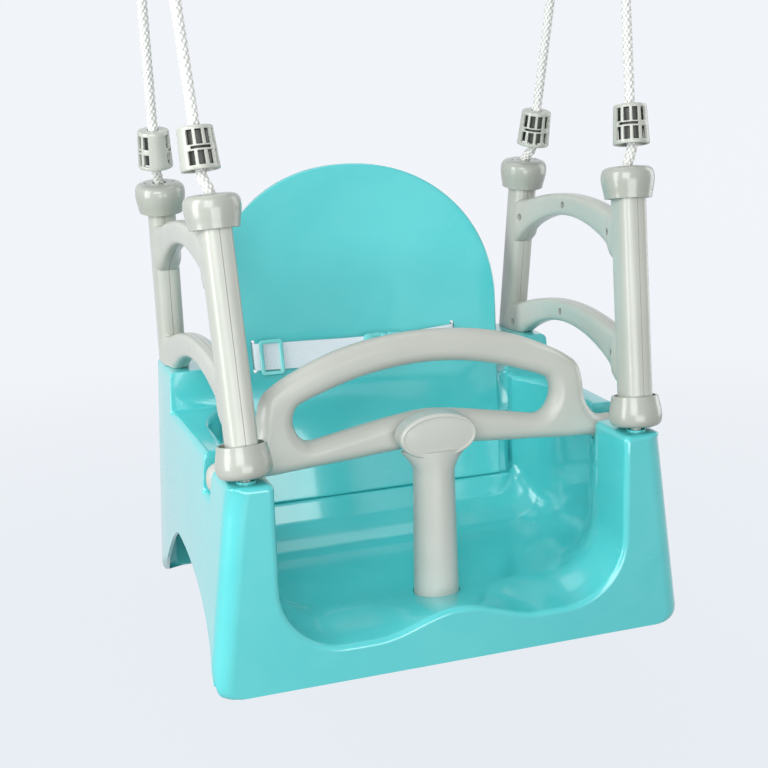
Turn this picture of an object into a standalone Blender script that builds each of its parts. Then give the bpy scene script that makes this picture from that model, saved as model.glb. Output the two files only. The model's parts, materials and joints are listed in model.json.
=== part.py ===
"""Child swing seat: a moulded seat tub with a backrest and lap belt, a lift-up front guard on a centre column,
and two clam-shell side frames hung on ropes from a pair of steel rings.

Metres, +Z up, the child faces -Y. The origin is midway between the rings, on the axis that the seat swings about.
Shapes are written from the seat's own datum, the middle of the tub's front bottom edge, and moved by DATUM.
"""

import math
import typing

import bmesh
import bpy
import numpy as np

# Where the seat hangs under the swing axis
RING_DROP = 0.8115  # swing axis above the tub's front bottom edge
RING_BACK = 0.1494  # swing axis behind that edge
DATUM = np.array([0.0, -RING_BACK, -RING_DROP])

SEAT_GAP = 0.0003  # between pieces that rest on each other

# Seat tub
SHELL_WALL = 0.003
FRONT_Y = -0.004  # plane of the front wall
TUB_DEPTH = 0.303  # front plane to rear face, at the rim
REAR_Y = FRONT_Y + TUB_DEPTH
BASE_HALF = 0.213  # outer half-width of the front at the bottom edge
FRONT_DRAFT = 0.133  # how much the side leans in per metre of height, at the front
REAR_NARROWS = 0.012  # how much less the half-width is at the rear
REAR_HALF = BASE_HALF - REAR_NARROWS
REAR_DRAFT = 0.045
POST_Z = 0.176  # top of the front posts
RIM_Z = 0.182  # top of the side walls
BLOCK_Z = 0.218  # top of the rear blocks
NOTCH_Z = 0.150  # floor of the notches that hold the guard's end lugs
SHELF_Z = 0.182  # shelf behind the backrest
FLOOR_Z = 0.042
POST_WIDTH = 0.036592  # across a front post's top
SIDE_WIDTH = 0.022802  # across a side wall's rim, midway along it
BLOCK_WIDTH = 0.04419  # across a rear block's top
OPENING_HALF = BASE_HALF - FRONT_DRAFT * POST_Z - POST_WIDTH  # half of the front opening between the posts
OPENING_CORNER = 0.055  # radius of the opening's lower corners
NOTCH_FILLETS = (0.050, 0.042)  # between floor and wall, in front of and behind the guard's lugs
WALL_FILLET = 0.034  # the same along the side wall, and then beside the rear fillet
REAR_WALL_FILLET = 0.030
LEG_DIP_X = 0.074
LEG_DIP_Z = 0.031
HUMP_Z = 0.0475  # lip between the two leg dips
WELL_HALF = 0.5 * (BASE_HALF - FRONT_DRAFT * RIM_Z + REAR_HALF - REAR_DRAFT * RIM_Z) - SIDE_WIDTH
WELL_REAR_HALF = REAR_HALF - REAR_DRAFT * BLOCK_Z - BLOCK_WIDTH  # half of the well beside the backrest
WELL_TURN_Y = (REAR_Y - 0.139, REAR_Y - 0.082)  # depths between which the well narrows to the backrest
POST_BACK_Y = 0.045
POST_FADE = 0.050  # depth over which the posts' inner faces run out into the side walls
BLOCK_FRONT_Y = REAR_Y - 0.0725
STEP_RUN = 0.0015  # depth taken by each upright step in the moulding, for draft
LIP_EASE = 0.060  # depth over which the floor eases into the lip
LIP_LINES = (0.4, 0.7)  # shares of that depth at which a line crosses the tub
MID_LINE_SHIFT = (0.00225, -0.00075)  # of the line midway along the wall, at its rim and on the floor
REAR_FILLET_LINES = ((0.018, 0), (0.032, 30), (0.045, 60))  # depth behind the well's turn, and angle up the fillet
FLOOR_PARTS = (1.0, 0.755, 0.57, 0.38, 0.19, 0.0)  # where the floor's facets lie, from its edge to the middle
RIM_ROUND = 0.005
CORNER_ROUND = 0.016
NOTCH_ROOM = 0.002  # clearance in front of and behind the guard's end lugs
ARCH_START_Y = 0.003
ARCH_APEX_Y = REAR_Y - 0.121
ARCH_APEX_Z = 0.0795
REAR_FOOT_Z = 0.004
FOOT_CORNER = 0.012
HOLLOW_RUNOUT = 0.010  # how far the space under the floor runs below the tub when it is cut
LEDGE_Z = 0.085  # step that the backrest stands on
REAR_FILLET = 0.0375
LEDGE_FILLET = 0.008  # small enough for the ledge and shelf to run past the backrest's edges

# Backrest
BACK_Y = REAR_Y - 0.0481  # depth of its front face at BACK_AT_Z
BACK_AT_Z = 0.3
BACK_LEAN = 0.195  # rearward travel per metre of height
BACK_PANEL = 0.003
BACK_FLANGE = 0.0065  # depth of the flange round its edge, front to back
BACK_HALF = WELL_REAR_HALF - 0.005
BACK_FOOT_HALF = WELL_REAR_HALF - 0.016
BACK_SHOULDER_Z = 0.262
BACK_TOP_Z = 0.3935
BACK_DISH = 0.008  # how far the middle lies behind the edges
DISH_FADE = 0.050  # height above the shelf over which the dish starts
BACK_ARCH = 2.13  # power of the arch over the top
BACK_STRIPS = 19
BACK_SLOT = (0.0040, 0.030)  # width and height of the belt's slots
LOOP_SLOT_X = -0.1075
FREE_SLOT_X = 0.0945

# Side frames, in a plane that leans back on the tub by FRAME_PITCH
FRAME_PITCH = math.radians(2.5)
FRAME_X = BASE_HALF - 0.0402  # half-distance between the frames' parting planes at the front cups
FRAME_FLARE = 0.030  # outward lean per metre of height
FRAME_SPLAY = 0.013  # outward lean per metre of depth
FRONT_TUBE = (0.0297, 0.110)  # y at z = 0.4, and travel in y per metre of height
REAR_TUBE = (REAR_Y - 0.0558, -0.170)
TUBE_AT_Z = 0.4
FRONT_TUBE_HALF = (0.0125, 0.0160)
REAR_TUBE_HALF = (0.0120, 0.0143)
TUBE_TOP_Z = 0.3960
ARCH_MID_Y = 0.5 * (FRONT_TUBE[0] + REAR_TUBE[0]) + 0.00155
UPPER_CROWN_Z = 0.3716
ARCH_PITCH = 0.0995  # lower arch under the upper one
ARCH_BAND = 0.0200  # height of an arch at its crown
ARCH_SPAN_DRAWN = 0.2135  # between the tubes, where the arches' sags were measured
SPAN_SHARE = ARCH_SPAN_DRAWN / (REAR_TUBE[0] - FRONT_TUBE[0])
ARCH_TOP_SAG = 1.38 * SPAN_SHARE**2  # drop of the upper edge, per square metre of half-span
ARCH_UNDER_SAG = 2.60 * SPAN_SHARE**2
ARCH_HALF_X = 0.0085
ARCH_CORNER = 4.0  # power of the rounded rectangle that an arch has for a section
ARCH_SIDES = 10
ARCH_STATIONS = 9
ARCH_CROWNS = (UPPER_CROWN_Z, UPPER_CROWN_Z - ARCH_PITCH)
TUBE_CORNER = 3.0
TUBE_SIDES = 12
PARTING_GAP = 0.0003
SCREW_R = 0.0030  # head; the shank has half of it
SCREW_HEAD = 0.0018
SCREW_SEAT = 0.0035  # parting plane to the seat under the head
SCREW_GRIP = 0.0050  # depth of the pilot hole in the outer half
SCREW_GAP = 0.0003
SCREW_FROM_TUBE = 0.0200  # end screws, in from the tube's axis
CUT_X, CUT_Y, CUT_Z = 0.3, (-0.1, 0.4), (0.1, 0.5)  # where the cutters end, well clear of the frames
CUT_THICK = 0.1

# Ropes and what is on them
ROPE_R = 0.0047
ROPE_HOLE_R = 0.0061
SPIGOT_R = ROPE_HOLE_R + 0.0020  # collars on the tub that stand inside the frame's tubes
SPIGOT_H = 0.0050
BOSS_H = 0.0016  # low collar under each front cup
TUBE_BORE_R = SPIGOT_R + 0.0004
RING_SPREAD = FRAME_X + 0.0322  # half the distance between the two rings
SHEAVE_R = 0.0190  # radius of the rope's centre line over the thimble
OVER_STEPS = 8  # straight pieces that the rope takes over the thimble
ROPE_SPACING = 0.045
CAP_HEIGHT = 0.0270
CAP_R = 0.0228
CAP_MOUTH_R = 0.0198
CAP_BORE_R = 0.0178
CAP_TOP = 0.0032
CAP_SEAT = SEAT_GAP + FRAME_FLARE * FRONT_TUBE_HALF[0]  # caps stand square on tubes that are cut level across
ADJUSTER_HEIGHT = 0.0335
ADJUSTER_TOP_R = 0.0140
ADJUSTER_FOOT_R = 0.0156
ADJUSTER_WALL = 0.0022
ADJUSTER_ROOF = 0.93  # underside of its roof, as a share of its height
SEAM_TURN = 0.7  # degrees that each half stops short of the seam
ROPE_CLEARANCE = 0.0005
FRONT_ADJUSTER_Z = 0.4158  # foot of the front adjusters above the datum
REAR_ADJUSTER_Z = 0.4039
ROPE_FEET = {
    "front": (FRAME_X + 0.0119, 0.0506, FRONT_ADJUSTER_Z),
    "rear": (FRAME_X + 0.0127, REAR_TUBE[0] + 0.0060, REAR_ADJUSTER_Z),
}
WASHER_R = 0.0088
WASHER_T = 0.0016
KNOT_R = 0.0098
KNOT_HALF_H = 0.0105
RING_R = 0.0240
RING_WIRE_R = 0.0040
THIMBLE_WIDTH = 0.0130
RING_STEPS = (24, 8)  # round the ring and round its wire

# Guard and its column
GUARD_FRONT_Y = 0.058
GUARD_BACK_Y = 0.082
GUARD_EDGE = 0.004
GUARD_TIP_X = BASE_HALF - 0.0205  # end of the lugs that rest in the tub's notches
GUARD_DRAWN_X = 0.1925  # where the outline has that end, as drawn
GUARD_FOOT_Z = 0.1692  # its lower edge in the middle
COLUMN_Y = 0.052
COLUMN_FOOT_R = 0.0197
COLUMN_NECK_R = 0.0178
COLUMN_FOOT_Z = 0.0185
COLUMN_NECK_Z = 0.150
COLUMN_FLARE = ((0.158, 0.0200), (0.166, 0.0255), (0.172, 0.0300))  # height and half-width up to the guard
SOCKET_FLOOR_Z = 0.0150
SOCKET_GAP = 0.0006
BADGE_HALF = (0.0345, 0.0198)
BADGE_Z = 0.1850
BADGE_FACE_Y = 0.0362
BADGE_RIM = 0.0028
BADGE_SINK = 0.0008  # the field's depth inside its rim
GUARD_SCREW_SEAT = 0.0035  # depth of the holes for the guard's screws
GUARD_SCREW_HEAD = (0.0014, 0.0020)  # height of the head's edge and middle

# Lap belt
WEB_WIDTH = 0.025
WEB_T = 0.0013
BELT_Z = 0.2225
BELT_SAG = 0.003  # how far the belt's middle hangs under its ends
WEB_STAND = 0.0030  # webbing's clearance from the panel
BUCKLE_X = (0.0, 0.0235, 0.0400)  # socket's end, parting of socket and plug, plug's end
BUCKLE_WIDTH = 0.0300
BUCKLE_T = 0.0085
BUCKLE_STAND = 0.0030  # how far the buckle's middle stands in front of the webbing's
BUCKLE_ROUND = 0.003  # length over which its ends draw in
WEB_TURN = 0.006  # distance from a slot over which the webbing bends flat
SLIDER_X = -0.0915
SLIDER_OUTER = (0.0225, 0.0325)
SLIDER_INNER = (0.0150, 0.0255)
SLIDER_T = 0.0022
SLIDER_STAND = 0.0006  # in front of the webbing
SLIDER_DROP = 0.0008  # its middle under the slots' middle


def srgb(code):
    """Linear RGBA of a hex colour."""
    parts = [int(code[i : i + 2], 16) / 255 for i in (1, 3, 5)]
    return [c / 12.92 if c <= 0.04045 else ((c + 0.055) / 1.055) ** 2.4 for c in parts] + [1.0]


def make_material(name, code, roughness, metallic=0.0):
    material = bpy.data.materials.new(name)
    material.use_nodes = True
    shader = material.node_tree.nodes["Principled BSDF"]
    shader.inputs["Base Color"].default_value = srgb(code)
    shader.inputs["Roughness"].default_value = roughness
    shader.inputs["Metallic"].default_value = metallic
    material.diffuse_color = srgb(code)
    return material


def add_mesh(name, points, faces, material, origin=(0.0, 0.0, 0.0), parent=None):
    """A mesh object from points given from the seat's datum, with its own origin at a datum point."""
    local = np.asarray(points, float) - np.asarray(origin, float)
    mesh = bpy.data.meshes.new(name)
    mesh.from_pydata([tuple(p) for p in local], [], [tuple(int(i) for i in f) for f in faces])
    mesh.materials.append(material)
    made = bpy.data.objects.new(name, mesh)
    bpy.context.scene.collection.objects.link(made)
    made.location = tuple(np.asarray(origin, float) + DATUM)
    if parent is not None:
        bpy.context.view_layer.update()
        made.parent = parent
        made.matrix_parent_inverse = parent.matrix_world.inverted()
    return made


def face_outwards(made):
    """Makes every face of a closed mesh point outwards."""
    work = bmesh.new()
    work.from_mesh(made.data)
    bmesh.ops.remove_doubles(work, verts=work.verts, dist=1e-6)
    bmesh.ops.recalc_face_normals(work, faces=work.faces)
    if work.calc_volume(signed=True) < 0:
        bmesh.ops.reverse_faces(work, faces=work.faces)
    work.to_mesh(made.data)
    work.free()
    made.data.shade_smooth()
    made.data.set_sharp_from_angle(angle=math.radians(35))
    return made


def apply_modifiers(made):
    graph = bpy.context.evaluated_depsgraph_get()
    mesh = bpy.data.meshes.new_from_object(made.evaluated_get(graph))
    made.modifiers.clear()
    made.data = mesh


def combine(made, others, operation):
    """Joins or cuts the object with others, which are used up."""
    for other in others:
        modifier = made.modifiers.new(operation.lower(), "BOOLEAN")
        modifier.operation = operation
        modifier.object = other
        modifier.solver = "EXACT"
    bpy.context.view_layer.update()
    apply_modifiers(made)
    for other in others:
        bpy.data.objects.remove(other, do_unlink=True)
    return made


def tube_faces(rings, around, capped=True):
    """Quads of a closed section of `around` points carried through `rings` stations, with end caps."""
    faces = []
    for i in range(rings - 1):
        for k in range(around):
            n = (k + 1) % around
            faces.append((i * around + k, i * around + n, (i + 1) * around + n, (i + 1) * around + k))
    if capped:
        faces.append(tuple(range(around - 1, -1, -1)))
        faces.append(tuple(range((rings - 1) * around, rings * around)))
    return faces


def looped_faces(rings, around):
    """Quads of a closed section of `around` points carried round a closed loop of `rings` stations."""
    faces = []
    for i in range(rings):
        a, b = i * around, (i + 1) % rings * around
        faces += [(a + k, a + (k + 1) % around, b + (k + 1) % around, b + k) for k in range(around)]
    return faces


def unit(vector):
    vector = np.asarray(vector, float)
    return vector / np.linalg.norm(vector)


def across_axis(axis):
    """Two unit vectors square to an axis and to each other."""
    reference = [0.0, 1.0, 0.0] if abs(axis[1]) < 0.9 else [0.0, 0.0, 1.0]
    side = unit(np.cross(reference, axis))
    return side, np.cross(axis, side)


def turned(profile, base, axis, segments):
    """Points and faces of a closed profile of (radius, height) pairs turned about an axis from base."""
    axis = unit(axis)
    side, other = across_axis(axis)
    points, closed = [], []
    for i in range(segments):
        angle = 2 * math.pi * i / segments
        out = math.cos(angle) * side + math.sin(angle) * other
        points += [np.asarray(base, float) + r * out + h * axis for r, h in profile]
    count = len(profile)
    for i in range(segments):
        j = (i + 1) % segments
        for k in range(count):
            n = (k + 1) % count
            if profile[k][0] > 0 or profile[n][0] > 0:
                closed.append((i * count + k, i * count + n, j * count + n, j * count + k))
    return points, closed


def turned_node(name, profile, base, axis, material, segments, parent, origin=None):
    points, faces = turned(profile, base, axis, segments)
    return face_outwards(add_mesh(name, points, faces, material, base if origin is None else origin, parent))


def rod(base, axis, radius, length, segments=16):
    """A helper cylinder, for a Boolean."""
    axis = unit(axis)
    side, other = across_axis(axis)
    points = []
    for h in (0.0, length):
        for i in range(segments):
            angle = 2 * math.pi * i / segments
            points.append(
                np.asarray(base, float) + h * axis + radius * (math.cos(angle) * side + math.sin(angle) * other)
            )
    return face_outwards(add_mesh("cutter", points, tube_faces(2, segments), TOOL))


def box(low, high):
    """A helper box, for a Boolean."""
    corners = [(x, y, z) for z in (low[2], high[2]) for x, y in
               ((low[0], low[1]), (high[0], low[1]), (high[0], high[1]), (low[0], high[1]))]
    return face_outwards(add_mesh("cutter", corners, tube_faces(2, 4), TOOL))


# Seat tub


def outer_half(y, z):
    """Outer half-width of the tub at a depth and height: it narrows upwards, more so in front."""
    back = np.clip((y - FRONT_Y) / TUB_DEPTH, 0.0, 1.0)
    front_half = BASE_HALF - FRONT_DRAFT * z
    rear_half = REAR_HALF - REAR_DRAFT * z
    return front_half + (rear_half - front_half) * back


def well_half(y):
    """Half-width of the well: the posts' inner faces, then the side walls, then beside the backrest."""
    widen = np.clip((y - POST_BACK_Y) / POST_FADE, 0.0, 1.0)
    wide = OPENING_HALF + (WELL_HALF - OPENING_HALF) * (3 * widen**2 - 2 * widen**3)
    turn = np.clip((y - WELL_TURN_Y[0]) / (WELL_TURN_Y[1] - WELL_TURN_Y[0]), 0.0, 1.0)
    return wide - (WELL_HALF - WELL_REAR_HALF) * (1 - math.cos(math.pi / 2 * turn))


def lip_z(x):
    """Height of the front lip: a hump between two leg dips."""
    part = min(abs(x) / LEG_DIP_X, 1.0)
    return LEG_DIP_Z + (HUMP_Z - LEG_DIP_Z) * 0.5 * (1 + math.cos(math.pi * part))


def well_floor(x, y, floor_z):
    """Floor height: level, easing into the lip over the front of the well."""
    ease = np.clip((y - FRONT_Y) / LIP_EASE, 0.0, 1.0)
    level = 3 * ease**2 - 2 * ease**3
    return lip_z(x) * (1 - level) + floor_z * level


def backrest_y(z):
    """Depth of the backrest's front face at its edges."""
    return BACK_Y + BACK_LEAN * (z - BACK_AT_Z)


class Line(typing.NamedTuple):
    """One line across the tub: its depth at the sides, the depth and height of the floor, the rim's height and the
    radius between floor and side wall."""

    side_y: float
    floor_y: float
    floor_z: float
    rim_z: float
    fillet: float


def tub_lines(inset):
    """The lines across the tub behind its rounded front, from the front to the rear. An inset moves each wall by
    that much towards the space under the floor."""
    ledge_y = backrest_y(LEDGE_Z)
    shelf_y = backrest_y(SHELF_Z) + BACK_FLANGE + SEAT_GAP
    notch = (GUARD_FRONT_Y - NOTCH_ROOM - inset, GUARD_BACK_Y + NOTCH_ROOM + inset)
    block_y = BLOCK_FRONT_Y + inset
    mid_y = 0.5 * (GUARD_BACK_Y + NOTCH_ROOM + STEP_RUN + WELL_TURN_Y[0])
    turn_y, turned_y = WELL_TURN_Y
    lines = [Line(y, y, FLOOR_Z, POST_Z, OPENING_CORNER) for y in (FRONT_Y + part * LIP_EASE for part in LIP_LINES)]
    for y, z in ((notch[0] - STEP_RUN, POST_Z), (notch[0], NOTCH_Z)):
        lines.append(Line(y, y, FLOOR_Z, z, NOTCH_FILLETS[0]))
    for y, z in ((notch[1], NOTCH_Z), (notch[1] + STEP_RUN, RIM_Z)):
        lines.append(Line(y, y, FLOOR_Z, z, NOTCH_FILLETS[1]))
    lines.append(Line(mid_y + MID_LINE_SHIFT[0], mid_y + MID_LINE_SHIFT[1], FLOOR_Z, RIM_Z, WALL_FILLET))
    lines.append(Line(turn_y, turn_y - 0.010, FLOOR_Z, RIM_Z, REAR_WALL_FILLET))
    for behind, angle in REAR_FILLET_LINES:
        run = math.sin(math.radians(angle))
        rise = 1 - math.cos(math.radians(angle))
        floor_y = ledge_y - STEP_RUN - REAR_FILLET * (1 - run)
        floor_z = FLOOR_Z + REAR_FILLET * rise
        lines.append(Line(turn_y + behind, floor_y + inset * run, floor_z, RIM_Z, REAR_WALL_FILLET))
    lines.append(Line(turned_y, ledge_y - 0.8 * STEP_RUN + inset, LEDGE_Z - SEAT_GAP, RIM_Z, LEDGE_FILLET))
    lines.append(Line(block_y, ledge_y + BACK_FLANGE + SEAT_GAP + inset, LEDGE_Z - SEAT_GAP, RIM_Z, LEDGE_FILLET))
    lines.append(Line(block_y + STEP_RUN, shelf_y + inset, SHELF_Z, BLOCK_Z, LEDGE_FILLET))
    lines.append(Line(REAR_Y - 0.054, shelf_y + 0.004 + inset, SHELF_Z, BLOCK_Z, LEDGE_FILLET))
    return lines


def foot_edge(y, inset):
    """Height of the bottom edge at a depth and how far its corner is rounded; the hollow runs out below it."""
    if inset > 0:
        return -HOLLOW_RUNOUT, 0.0
    return (0.0 if y < BLOCK_FRONT_Y else REAR_FOOT_Z), FOOT_CORNER


def tub_section(line, inset):
    """Right half of one cross-section, from the bottom edge over the rim to the middle of the floor. Each row has
    x, y and z, how far the point sinks in x and z at a rounded front or rear face, and the depth of that rounding."""
    side_y, floor_y, _, _, _ = line
    rim_z = line.rim_z - inset
    fillet = line.fillet + inset
    rim = RIM_ROUND - inset
    corner = CORNER_ROUND - inset
    inner = well_half(side_y) + inset
    low, foot = foot_edge(side_y, inset)
    top = rim_z - rim
    rows = []
    for z, cut in ((low, foot), (low + 0.3 * foot, 0.3 * foot), (low + foot, 0.0), (0.5 * (low + top), 0.0), (top, 0.0)):
        rows.append((outer_half(side_y, z) - inset - cut, side_y, z, corner, 0.0, corner))
    out = outer_half(side_y, rim_z) - inset
    rows.append((out - 0.3 * rim, side_y, rim_z - 0.3 * rim, corner, 0.7 * rim, 0.5 * (corner + rim)))
    rows.append((out - rim, side_y, rim_z, corner, rim, rim))
    rows.append((inner + rim, side_y, rim_z, -rim, rim, rim))
    rows.append((inner + 0.3 * rim, side_y, rim_z - 0.3 * rim, -rim, 0.7 * rim, rim))
    rows.append((inner, side_y, top, -rim, 0.0, rim))
    edge = inner - fillet
    base_z = well_floor(edge, floor_y, line.floor_z) - inset
    for angle in (0, 23, 46, 68):
        c, s = math.cos(math.radians(angle)), math.sin(math.radians(angle))
        share = (1 - c) ** 0.7
        rows.append((inner - fillet * (1 - c), side_y + (floor_y - side_y) * share, base_z + fillet * (1 - s),
                     -rim * c, rim * s, rim))
    for part in FLOOR_PARTS:
        x = edge * part
        rows.append((x, floor_y, well_floor(x, floor_y, line.floor_z) - inset, 0.0, rim, rim))
    return np.array(rows)


def end_section(line, face_y, sign, turn, inset):
    """A cross-section pulled to the front (sign -1) or rear (+1) face and sunk into it by its rounding."""
    side_y = face_y - sign * (CORNER_ROUND - inset) * (1 - math.sin(turn))
    rows = tub_section(line._replace(side_y=side_y), inset)
    points = rows[:, :3].copy()
    points[:, [0, 2]] -= rows[:, 3:5] * (1 - math.cos(turn))
    points[:, 1] = face_y - sign * rows[:, 5] * (1 - math.sin(turn))
    return points


def tub_solid(inset, material):
    """The tub's outline closed below as a solid, or, with an inset, the space under its floor."""
    front_y = FRONT_Y + inset
    rear_y = REAR_Y - inset
    front = Line(front_y, front_y, FLOOR_Z, POST_Z, OPENING_CORNER)
    rear = Line(rear_y, rear_y, SHELF_Z, BLOCK_Z, LEDGE_FILLET)
    halves = [end_section(front, front_y, -1, math.radians(turn), inset) for turn in (90, 45, 0)]
    halves += [tub_section(line, inset)[:, :3] for line in tub_lines(inset)]
    halves += [end_section(rear, rear_y, 1, math.radians(turn), inset) for turn in (0, 45, 90)]
    mirrored = [np.vstack([half, half[-2::-1] * (-1.0, 1.0, 1.0)]) for half in halves]
    around = len(mirrored[0])
    return face_outwards(add_mesh("seat_tub", np.vstack(mirrored), tube_faces(len(mirrored), around), material))


def arch_cutter(sign):
    """What is cut from under a side wall: a quarter ellipse up to the apex, then a cosine down to the rear foot."""
    edge = []
    for degrees in range(0, 90, 9):
        turn = math.radians(degrees)
        edge.append((ARCH_APEX_Y - (ARCH_APEX_Y - ARCH_START_Y) * math.cos(turn), ARCH_APEX_Z * math.sin(turn)))
    for i in range(9):
        rise = 0.5 * (1 + math.cos(math.pi * i / 8))
        edge.append((ARCH_APEX_Y + (REAR_Y - ARCH_APEX_Y) * i / 8, REAR_FOOT_Z + (ARCH_APEX_Z - REAR_FOOT_Z) * rise))
    edge += [(REAR_Y + CORNER_ROUND, REAR_FOOT_Z), (REAR_Y + CORNER_ROUND, -HOLLOW_RUNOUT)]
    edge.append((ARCH_START_Y, -HOLLOW_RUNOUT))
    inner_x = 0.5 * (WELL_HALF + REAR_HALF)
    points = [(sign * x, y, z) for x in (inner_x, BASE_HALF + CORNER_ROUND) for y, z in edge]
    return face_outwards(add_mesh("cutter", points, tube_faces(2, len(edge)), TOOL))


def build_tub(parent):
    """The tub: a moulding hollow from below, with a socket under the floor for the column, bosses under the front
    cups, spigots for the rear tubes, and the rope holes."""
    tub = tub_solid(0.0, TURQUOISE)
    combine(tub, [tub_solid(SHELL_WALL, TURQUOISE), arch_cutter(-1), arch_cutter(1)], "DIFFERENCE")
    face_outwards(tub)
    up = (0, 0, 1)
    sink = 0.5 * SHELL_WALL
    foot = (0.0, COLUMN_Y, SOCKET_FLOOR_Z - SHELL_WALL)
    bore = COLUMN_FOOT_R + SOCKET_GAP
    raised = [rod(foot, up, bore + SHELL_WALL, FLOOR_Z - sink - foot[2], 24)]
    cutters = [rod((0.0, COLUMN_Y, SOCKET_FLOOR_Z), up, bore, 0.06, 24)]
    for sign in (-1, 1):
        mirror = np.array([sign, 1.0, 1.0])
        for seat, axis, height in ((front_seat(), up, BOSS_H), (rear_seat(), tube_axis(REAR_TUBE), SPIGOT_H)):
            axis = np.array(axis) * mirror
            raised.append(rod(seat * mirror - sink * axis, axis, SPIGOT_R, sink + height))
            cutters.append(rod(seat * mirror - 0.01 * axis, axis, ROPE_HOLE_R, 0.03))
    combine(tub, raised, "UNION")
    combine(tub, cutters, "DIFFERENCE")
    face_outwards(tub)
    tub.location = tuple(DATUM)
    place(tub, parent)


# Side frames


def leaned(points):
    """Points of a right-hand frame, from its own flat plane (offset, depth, height) to the datum."""
    points = np.asarray(points, float)
    turn_c, turn_s = math.cos(FRAME_PITCH), math.sin(FRAME_PITCH)
    y = points[:, 1] * turn_c + points[:, 2] * turn_s
    z = -points[:, 1] * turn_s + points[:, 2] * turn_c
    x = FRAME_X + points[:, 0] + FRAME_FLARE * (z - 0.2) + FRAME_SPLAY * (y - 0.02)
    return np.stack([x, y, z], 1)


def tube_y(tube, z):
    """Depth of a tube's axis at a height, in the frame's plane."""
    return tube[0] + tube[1] * (z - TUBE_AT_Z)


def tube_point(tube, z):
    return leaned([(0.0, tube_y(tube, z), z)])[0]


def plane_z_at(tube, height):
    """Height in the frame's plane of the tube axis where it stands at a height above the datum."""
    z = height
    for _ in range(20):
        z += height - tube_point(tube, z)[2]
    return z


def tube_axis(tube):
    """Direction of a tube's axis, upwards."""
    return unit(tube_point(tube, TUBE_TOP_Z) - tube_point(tube, BLOCK_Z))


def front_tube_low():
    """Foot of the front tube in the frame's plane, its cup just clear of the boss on the post that it leans over."""
    axis = tube_axis(FRONT_TUBE)
    tip = SPIGOT_R * math.hypot(axis[0], axis[1])
    return plane_z_at(FRONT_TUBE, POST_Z + BOSS_H + SEAT_GAP + tip + (CAP_TOP + CAP_SEAT) * axis[2])


def front_seat():
    """Where the rope of a front tube goes through the post's top."""
    return tube_point(FRONT_TUBE, plane_z_at(FRONT_TUBE, POST_Z))


def rear_seat():
    """Where a rear tube stands on its block."""
    return tube_point(REAR_TUBE, plane_z_at(REAR_TUBE, BLOCK_Z))


def rounded_section(half_x, half_y, corner, steps):
    """A rounded rectangle as (offset, across) pairs round its edge: a circle squared off by the corner power."""
    rows = []
    for i in range(steps):
        turn = 2 * math.pi * (i + 0.5) / steps
        c, s = math.cos(turn), math.sin(turn)
        rows.append((half_x * math.copysign(abs(c) ** (2 / corner), c),
                     half_y * math.copysign(abs(s) ** (2 / corner), s)))
    return rows


def frame_tube(tube, size, low, level_foot):
    """A frame's tube, cut square to its axis, or level at the foot where it stands on a block."""
    ends = []
    slope = math.atan(tube[1])
    for z, level in ((low, level_foot), (TUBE_TOP_Z, False)):
        lean = -FRAME_PITCH if level else slope
        for offset, across in rounded_section(*size, TUBE_CORNER, TUBE_SIDES):
            ends.append((offset, tube_y(tube, z) + across * math.cos(lean), z - across * math.sin(lean)))
    return leaned(ends), tube_faces(2, TUBE_SIDES)


def arch_edge(y, crown, sag):
    return crown - sag * (y - ARCH_MID_Y) ** 2


def arch_middle(y, crown):
    """Height of an arch's middle line, and half its depth there."""
    top = arch_edge(y, crown, ARCH_TOP_SAG)
    low = arch_edge(y, crown - ARCH_BAND, ARCH_UNDER_SAG)
    return 0.5 * (top + low), 0.5 * (top - low)


def arch_ends(crown):
    """Depths at which an arch runs into the front and rear tubes, on their axes."""
    low = crown - ARCH_BAND
    return tube_y(FRONT_TUBE, low), tube_y(REAR_TUBE, low)


def frame_arch(crown):
    """An arched rib from tube to tube, deeper at its ends, with its rim rounded over."""
    points = []
    start, end = arch_ends(crown)
    for i in range(ARCH_STATIONS):
        y = start + (end - start) * i / (ARCH_STATIONS - 1)
        middle, half = arch_middle(y, crown)
        section = rounded_section(ARCH_HALF_X, half, ARCH_CORNER, ARCH_SIDES)
        points += [(offset, y, middle + across) for offset, across in section]
    return leaned(points), tube_faces(ARCH_STATIONS, ARCH_SIDES)


def far_side(side):
    """A block that takes away all of a frame beyond its parting plane, on the other side from the half kept."""
    near, far = 0.5 * side * PARTING_GAP, -side * CUT_THICK
    corners = ((near, CUT_Y[0]), (far, CUT_Y[0]), (far, CUT_Y[1]), (near, CUT_Y[1]))
    rows = [(offset, y, z) for z in CUT_Z for offset, y in corners]
    return leaned(rows), tube_faces(2, 4)


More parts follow.
